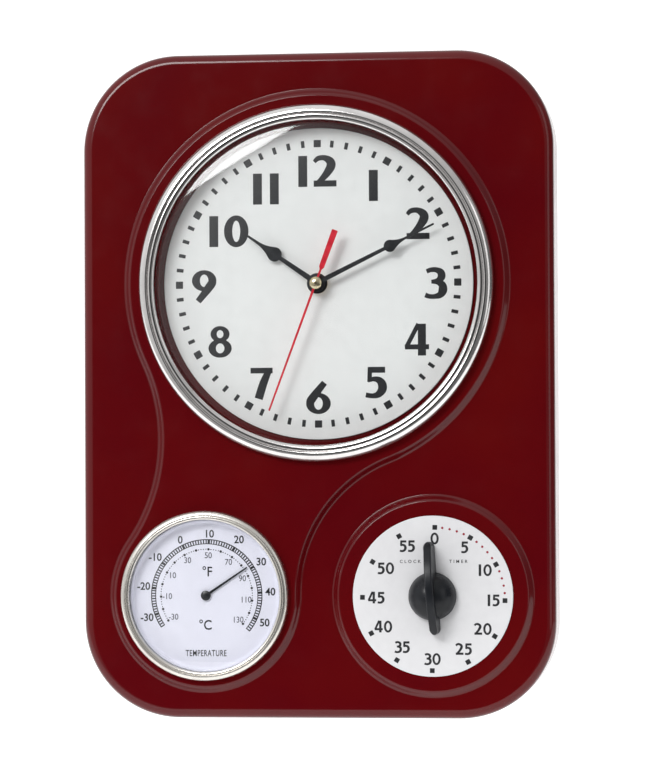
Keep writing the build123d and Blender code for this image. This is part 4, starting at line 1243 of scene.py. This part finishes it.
class BuildHands(bpy.types.Operator):
    """Press and paint the hands, their cap and the thermometer's pointer"""

    bl_idname = "kitchen_clock.hands"
    bl_label = "Hands"

    def execute(self, context):
        edge = context.scene.clock_hands.edge
        reach, angle = reach_and_turn("hour_hand", CLOCK)
        outline = spade(5.25, 2.8, 2.1, 26.5, 3.7, 38.0, reach, 1.4)
        self.blade("hour_hand_blade", "hour_hand", outline, angle, edge, "hand_black")
        reach, angle = reach_and_turn("minute_hand", CLOCK)
        outline = spade(4.4, 2.5, 1.8, 41.8, 3.1, 51.0, reach, 1.2)
        self.blade("minute_hand_blade", "minute_hand", outline, angle, edge, "hand_black")
        reach, angle = reach_and_turn("second_hand", CLOCK)
        self.blade("second_hand_blade", "second_hand", sweep_hand(reach), angle, edge * 0.8, "hand_red")
        self.cap()
        self.pointer()
        return {"FINISHED"}

    def blade(self, name, node, outline, angle, edge, slot):
        spot = Spot(node)
        shape = Shape()
        shape.plate(turned(outline, (CLOCK.x, CLOCK.y), angle), spot.back, spot.front, edge)
        make_piece(name, shape, node, slot, [node])

    def cap(self):
        spot = Spot("hand_cap")
        side = spot.back + 0.9
        top = dome(spot.radius - 0.15, side + 0.15, spot.front, 10)
        shape = Shape()
        profile = [(0, spot.back), (spot.radius, spot.back), (spot.radius, side), *top]
        shape.lathe((CLOCK.x, CLOCK.y), profile, 96)
        make_piece("hand_cap_dome", shape, "second_hand", "cap_brass", ["hand_cap"])

    def pointer(self):
        """A wire-thin pointer on a domed boss."""
        spot = Spot("thermo_pointer")
        reach, angle = reach_and_turn("thermo_pointer", THERMO)
        needle = [(-0.8, -2.0), (0.8, -2.0), (0.62, 2.0), (0.36, reach), (-0.36, reach), (-0.62, 2.0)]
        shape = Shape()
        level = spot.front - 1.0
        centre = (THERMO.x, THERMO.y)
        shape.plate(turned(needle, centre, angle), level, level + 0.4, 0.08)
        boss = dome(2.4, level + 0.55, spot.front, 8)
        under = [(0, level - 0.05), (2.5, level - 0.05), (2.5, level + 0.45)]
        shape.lathe(centre, [*under, *boss], 64)
        make_piece("thermometer_pointer", shape, "thermo_pointer", "hand_black", ["thermo_pointer"])


KNOB_HUB = 12.1
KNOB_HUB_TOP = 47.4
FIN_TAIL = -19.3
FIN_END_HEIGHT = 42.4
FIN_STATIONS = 40


class BuildKnob(bpy.types.Operator):
    """Mould the timer's knob: a domed hub with a tall grip fin"""

    bl_idname = "kitchen_clock.knob"
    bl_label = "Timer knob"

    def execute(self, context):
        spot = Spot("timer_knob")
        reach, angle = reach_and_turn("timer_knob", TIMER)
        centre = (TIMER.x, TIMER.y)
        shape = Shape()
        hub, back = KNOB_HUB, spot.back
        skirt = [(2.0, back), (hub - 0.4, back), (hub, back + 0.4), (hub, back + 1.4)]
        crown = dome(hub - 0.15, back + 1.7, KNOB_HUB_TOP, 22)
        socket = [(0, back + 8), (2.0, back + 8)]
        shape.lathe(centre, [*skirt, *crown, *socket], 128)
        self.fin(shape, centre, angle, reach, back + 0.6, spot.front)
        make_piece("timer_knob_grip", shape, "timer_knob", "knob_black", ["timer_knob"], sharp=40)
        return {"FINISHED"}

    def fin(self, shape, centre, angle, tip, base, peak):
        """Sections from the short end to the long end, under an arched top."""
        half_span, middle = (tip - FIN_TAIL) / 2, (tip + FIN_TAIL) / 2
        rise = peak - FIN_END_HEIGHT
        ball = (half_span**2 + rise**2) / (2 * rise)
        foot_half, top_half = 2.9, 1.9
        loops = []
        for station in range(FIN_STATIONS + 1):
            along = -cos(pi * station / FIN_STATIONS)
            y = middle + along * half_span * 0.999
            top = peak - ball + sqrt(ball**2 - (y - middle) ** 2)
            from_end = half_span - abs(y - middle)
            plan = min(1.0, sqrt(max(0.0, 1 - (1 - min(1.0, from_end / foot_half)) ** 2)))
            plan = max(plan, 0.03)
            section = self.section(foot_half * plan, top_half * plan, base, top - 0.9 * (1 - plan))
            loop = []
            for x, z in section:
                px, py = turned([(x, y)], centre, angle)[0]
                loop.append((px, py, z))
            loops.append(loop)
        shape.bridge(loops, caps=True)

    def section(self, foot_half, top_half, base, top):
        """Flared sides and a flat top with rounded shoulders."""
        shoulder = (top_half, top - 0.7)
        right = curve((foot_half, base), (top_half * 1.08, base + (top - base) * 0.35), shoulder, 8)
        right += curve(shoulder, (top_half, top), (top_half * 0.6, top), 4)[1:]
        return right + [(-x, z) for x, z in reversed(right)]


class DressParts(bpy.types.Operator):
    """Give every CAD part that stays in sight its finish"""

    bl_idname = "kitchen_clock.parts"
    bl_label = "Inner and rear parts"

    def execute(self, context):
        slots = {part["node"]: part["material_slot"] for part in frame["record"]["subparts"]}
        for name, part in frame["nodes"].items():
            if part.hide_render:
                continue
            part.data.materials.clear()
            part.data.materials.append(finished(slots[name]))
        return {"FINISHED"}


# ---------------------------------------------------------------- stage
CAMERA_PLACE = (0.23714, -1.83232, -0.04375)
CAMERA_YAW = -7.564
CAMERA_PITCH = 1.300
CAMERA_ROLL = -0.2686
CAMERA_SHIFT = (0.0171, 0.01265)
KEY_LIGHT = {"place": (-0.712, -1.658, 0.920), "up": (-0.528, 0.0, 0.849), "size": (1.0, 0.6)}
FILL_LIGHT = {"place": (1.55, -1.0, 0.35), "up": (0.0, 0.0, 1.0), "size": (0.7, 1.4)}
DARK_CONE = (23, 12)
FLOOR_NEAR, FLOOR_BEND, FLOOR_FAR = -400.0, 1400.0, 4000.0


class SetStage(bpy.types.Operator):
    """Set the floor, the lights, the white surroundings and the camera"""

    bl_idname = "kitchen_clock.stage"
    bl_label = "Stage"

    def execute(self, context):
        look = context.scene.clock_stage
        context.scene.view_settings.view_transform = "Standard"
        self.floor(context, look)
        self.surroundings(context, look)
        self.softbox("key_light", look.key, **KEY_LIGHT)
        self.softbox("fill_light", look.fill, **FILL_LIGHT)
        self.camera(context, look)
        return {"FINISHED"}

    def floor(self, context, look):
        """A pale floor that curves up far behind the object."""
        level = -CASE.half_height - look.floor_drop
        bend = arc(FLOOR_FAR - FLOOR_BEND, level + FLOOR_BEND, FLOOR_BEND, -90, 0, 6)
        rows = [(FLOOR_NEAR, level), *bend, (FLOOR_FAR, level + 3600.0)]
        mesh = bpy.data.meshes.new("studio_floor")
        points = [(x * MM, y * MM, z * MM) for y, z in rows for x in (-FLOOR_FAR, FLOOR_FAR)]
        faces = [(2 * i, 2 * i + 1, 2 * i + 3, 2 * i + 2) for i in range(len(rows) - 1)]
        mesh.from_pydata(points, [], faces)
        mesh.polygons.foreach_set("use_smooth", [True] * len(faces))
        material = bpy.data.materials.new("studio_paper")
        shader = Shader(material)
        grain = shader.noise(30, 3).clip(0.3, 0.7)
        tone = shader.mix(grain, (0.9, 0.9, 0.9), (0.88, 0.88, 0.88))
        shader.surface(tone, 0.9, Emission_Color=(1, 1, 1, 1), Emission_Strength=0.45)
        mesh.materials.append(material)
        floor = bpy.data.objects.new("studio_floor", mesh)
        context.scene.collection.objects.link(floor)

    def surroundings(self, context, look):
        """A white tent, brightest at the upper left and dark in front so that flat enamel stays deep."""
        world = bpy.data.worlds.new("tent")
        context.scene.world = world
        shader = Shader(world)
        way = shader.node("ShaderNodeTexCoord")
        parts = [shader.node("ShaderNodeSeparateXYZ", sockets={"Vector": way}, output=n) for n in range(3)]
        x, y, z = parts
        open_side = 1 - (y * -1).clip(*(cos(radians(angle)) for angle in DARK_CONE))
        upper_left = (z * 0.8 - x * 0.6).clip(-0.4, 0.7)
        strength = 0.02 + open_side * (0.15 + upper_left * 0.85) * look.tent
        seen = shader.node("ShaderNodeLightPath")
        glow = strength * (1 - seen) + seen
        shade = shader.node("ShaderNodeBackground", sockets={"Color": (1, 1, 1, 1), "Strength": glow})
        shader.node("ShaderNodeOutputWorld", sockets={"Surface": shade})

    def softbox(self, name, power, place, up, size):
        """An area light that faces the object; size is across and along up."""
        light = bpy.data.lights.new(name, "AREA")
        light.shape = "RECTANGLE"
        light.size, light.size_y = size
        light.energy = power
        box = bpy.data.objects.new(name, light)
        bpy.context.scene.collection.objects.link(box)
        away = Vector(place).normalized()
        side = Vector(up).cross(away).normalized()
        turn = Matrix((side, away.cross(side), away)).transposed().to_4x4()
        box.matrix_world = Matrix.Translation(place) @ turn
        box.visible_camera = False

    def camera(self, context, look):
        yaw, pitch, roll = radians(CAMERA_YAW), radians(CAMERA_PITCH), radians(CAMERA_ROLL)
        ahead = Vector((sin(yaw) * cos(pitch), cos(yaw) * cos(pitch), sin(pitch)))
        level_right = ahead.cross(Vector((0, 0, 1))).normalized()
        level_up = level_right.cross(ahead)
        right = level_right * cos(roll) + level_up * sin(roll)
        up = level_up * cos(roll) - level_right * sin(roll)
        data = bpy.data.cameras.new("camera")
        data.lens = look.lens
        data.sensor_width = 36.0
        data.shift_x, data.shift_y = CAMERA_SHIFT
        camera = bpy.data.objects.new("camera", data)
        context.scene.collection.objects.link(camera)
        turn = Matrix((right, up, -ahead)).transposed().to_4x4()
        camera.matrix_world = Matrix.Translation(CAMERA_PLACE) @ turn
        context.scene.camera = camera


# ---------------------------------------------------------------- add-on
SETTINGS = {
    "clock_case": CaseSettings,
    "clock_dials": DialSettings,
    "clock_hands": HandSettings,
    "clock_stage": StageSettings,
}
OPERATORS = (
    BuildCase, BuildBezels, BuildLenses, BuildDials, BuildClockPrint, BuildThermometerPrint,
    BuildTimerPrint, BuildHands, BuildKnob, DressParts, SetStage,
)


class KitchenClockPanel(bpy.types.Panel):
    """Settings and steps of the kitchen clock"""

    bl_idname = "VIEW3D_PT_kitchen_clock"
    bl_label = "Kitchen Clock"
    bl_space_type = "VIEW_3D"
    bl_region_type = "UI"
    bl_category = "Kitchen Clock"

    def draw(self, context):
        for name in SETTINGS:
            box = self.layout.box()
            group = getattr(context.scene, name)
            for setting in group.bl_rna.properties:
                if not setting.is_readonly and setting.identifier != "name":
                    box.prop(group, setting.identifier)
        for operator in OPERATORS:
            self.layout.operator(operator.bl_idname)


def register():
    for group in (*SETTINGS.values(), *OPERATORS, KitchenClockPanel):
        bpy.utils.register_class(group)
    for name, group in SETTINGS.items():
        setattr(bpy.types.Scene, name, PointerProperty(type=group))


def unregister():
    for name in SETTINGS:
        delattr(bpy.types.Scene, name)
    for group in reversed((*SETTINGS.values(), *OPERATORS, KitchenClockPanel)):
        bpy.utils.unregister_class(group)


def main():
    register()
    for operator in OPERATORS:
        category, step = operator.bl_idname.split(".")
        getattr(getattr(bpy.ops, category), step)()


if __name__ == "__main__":
    main()
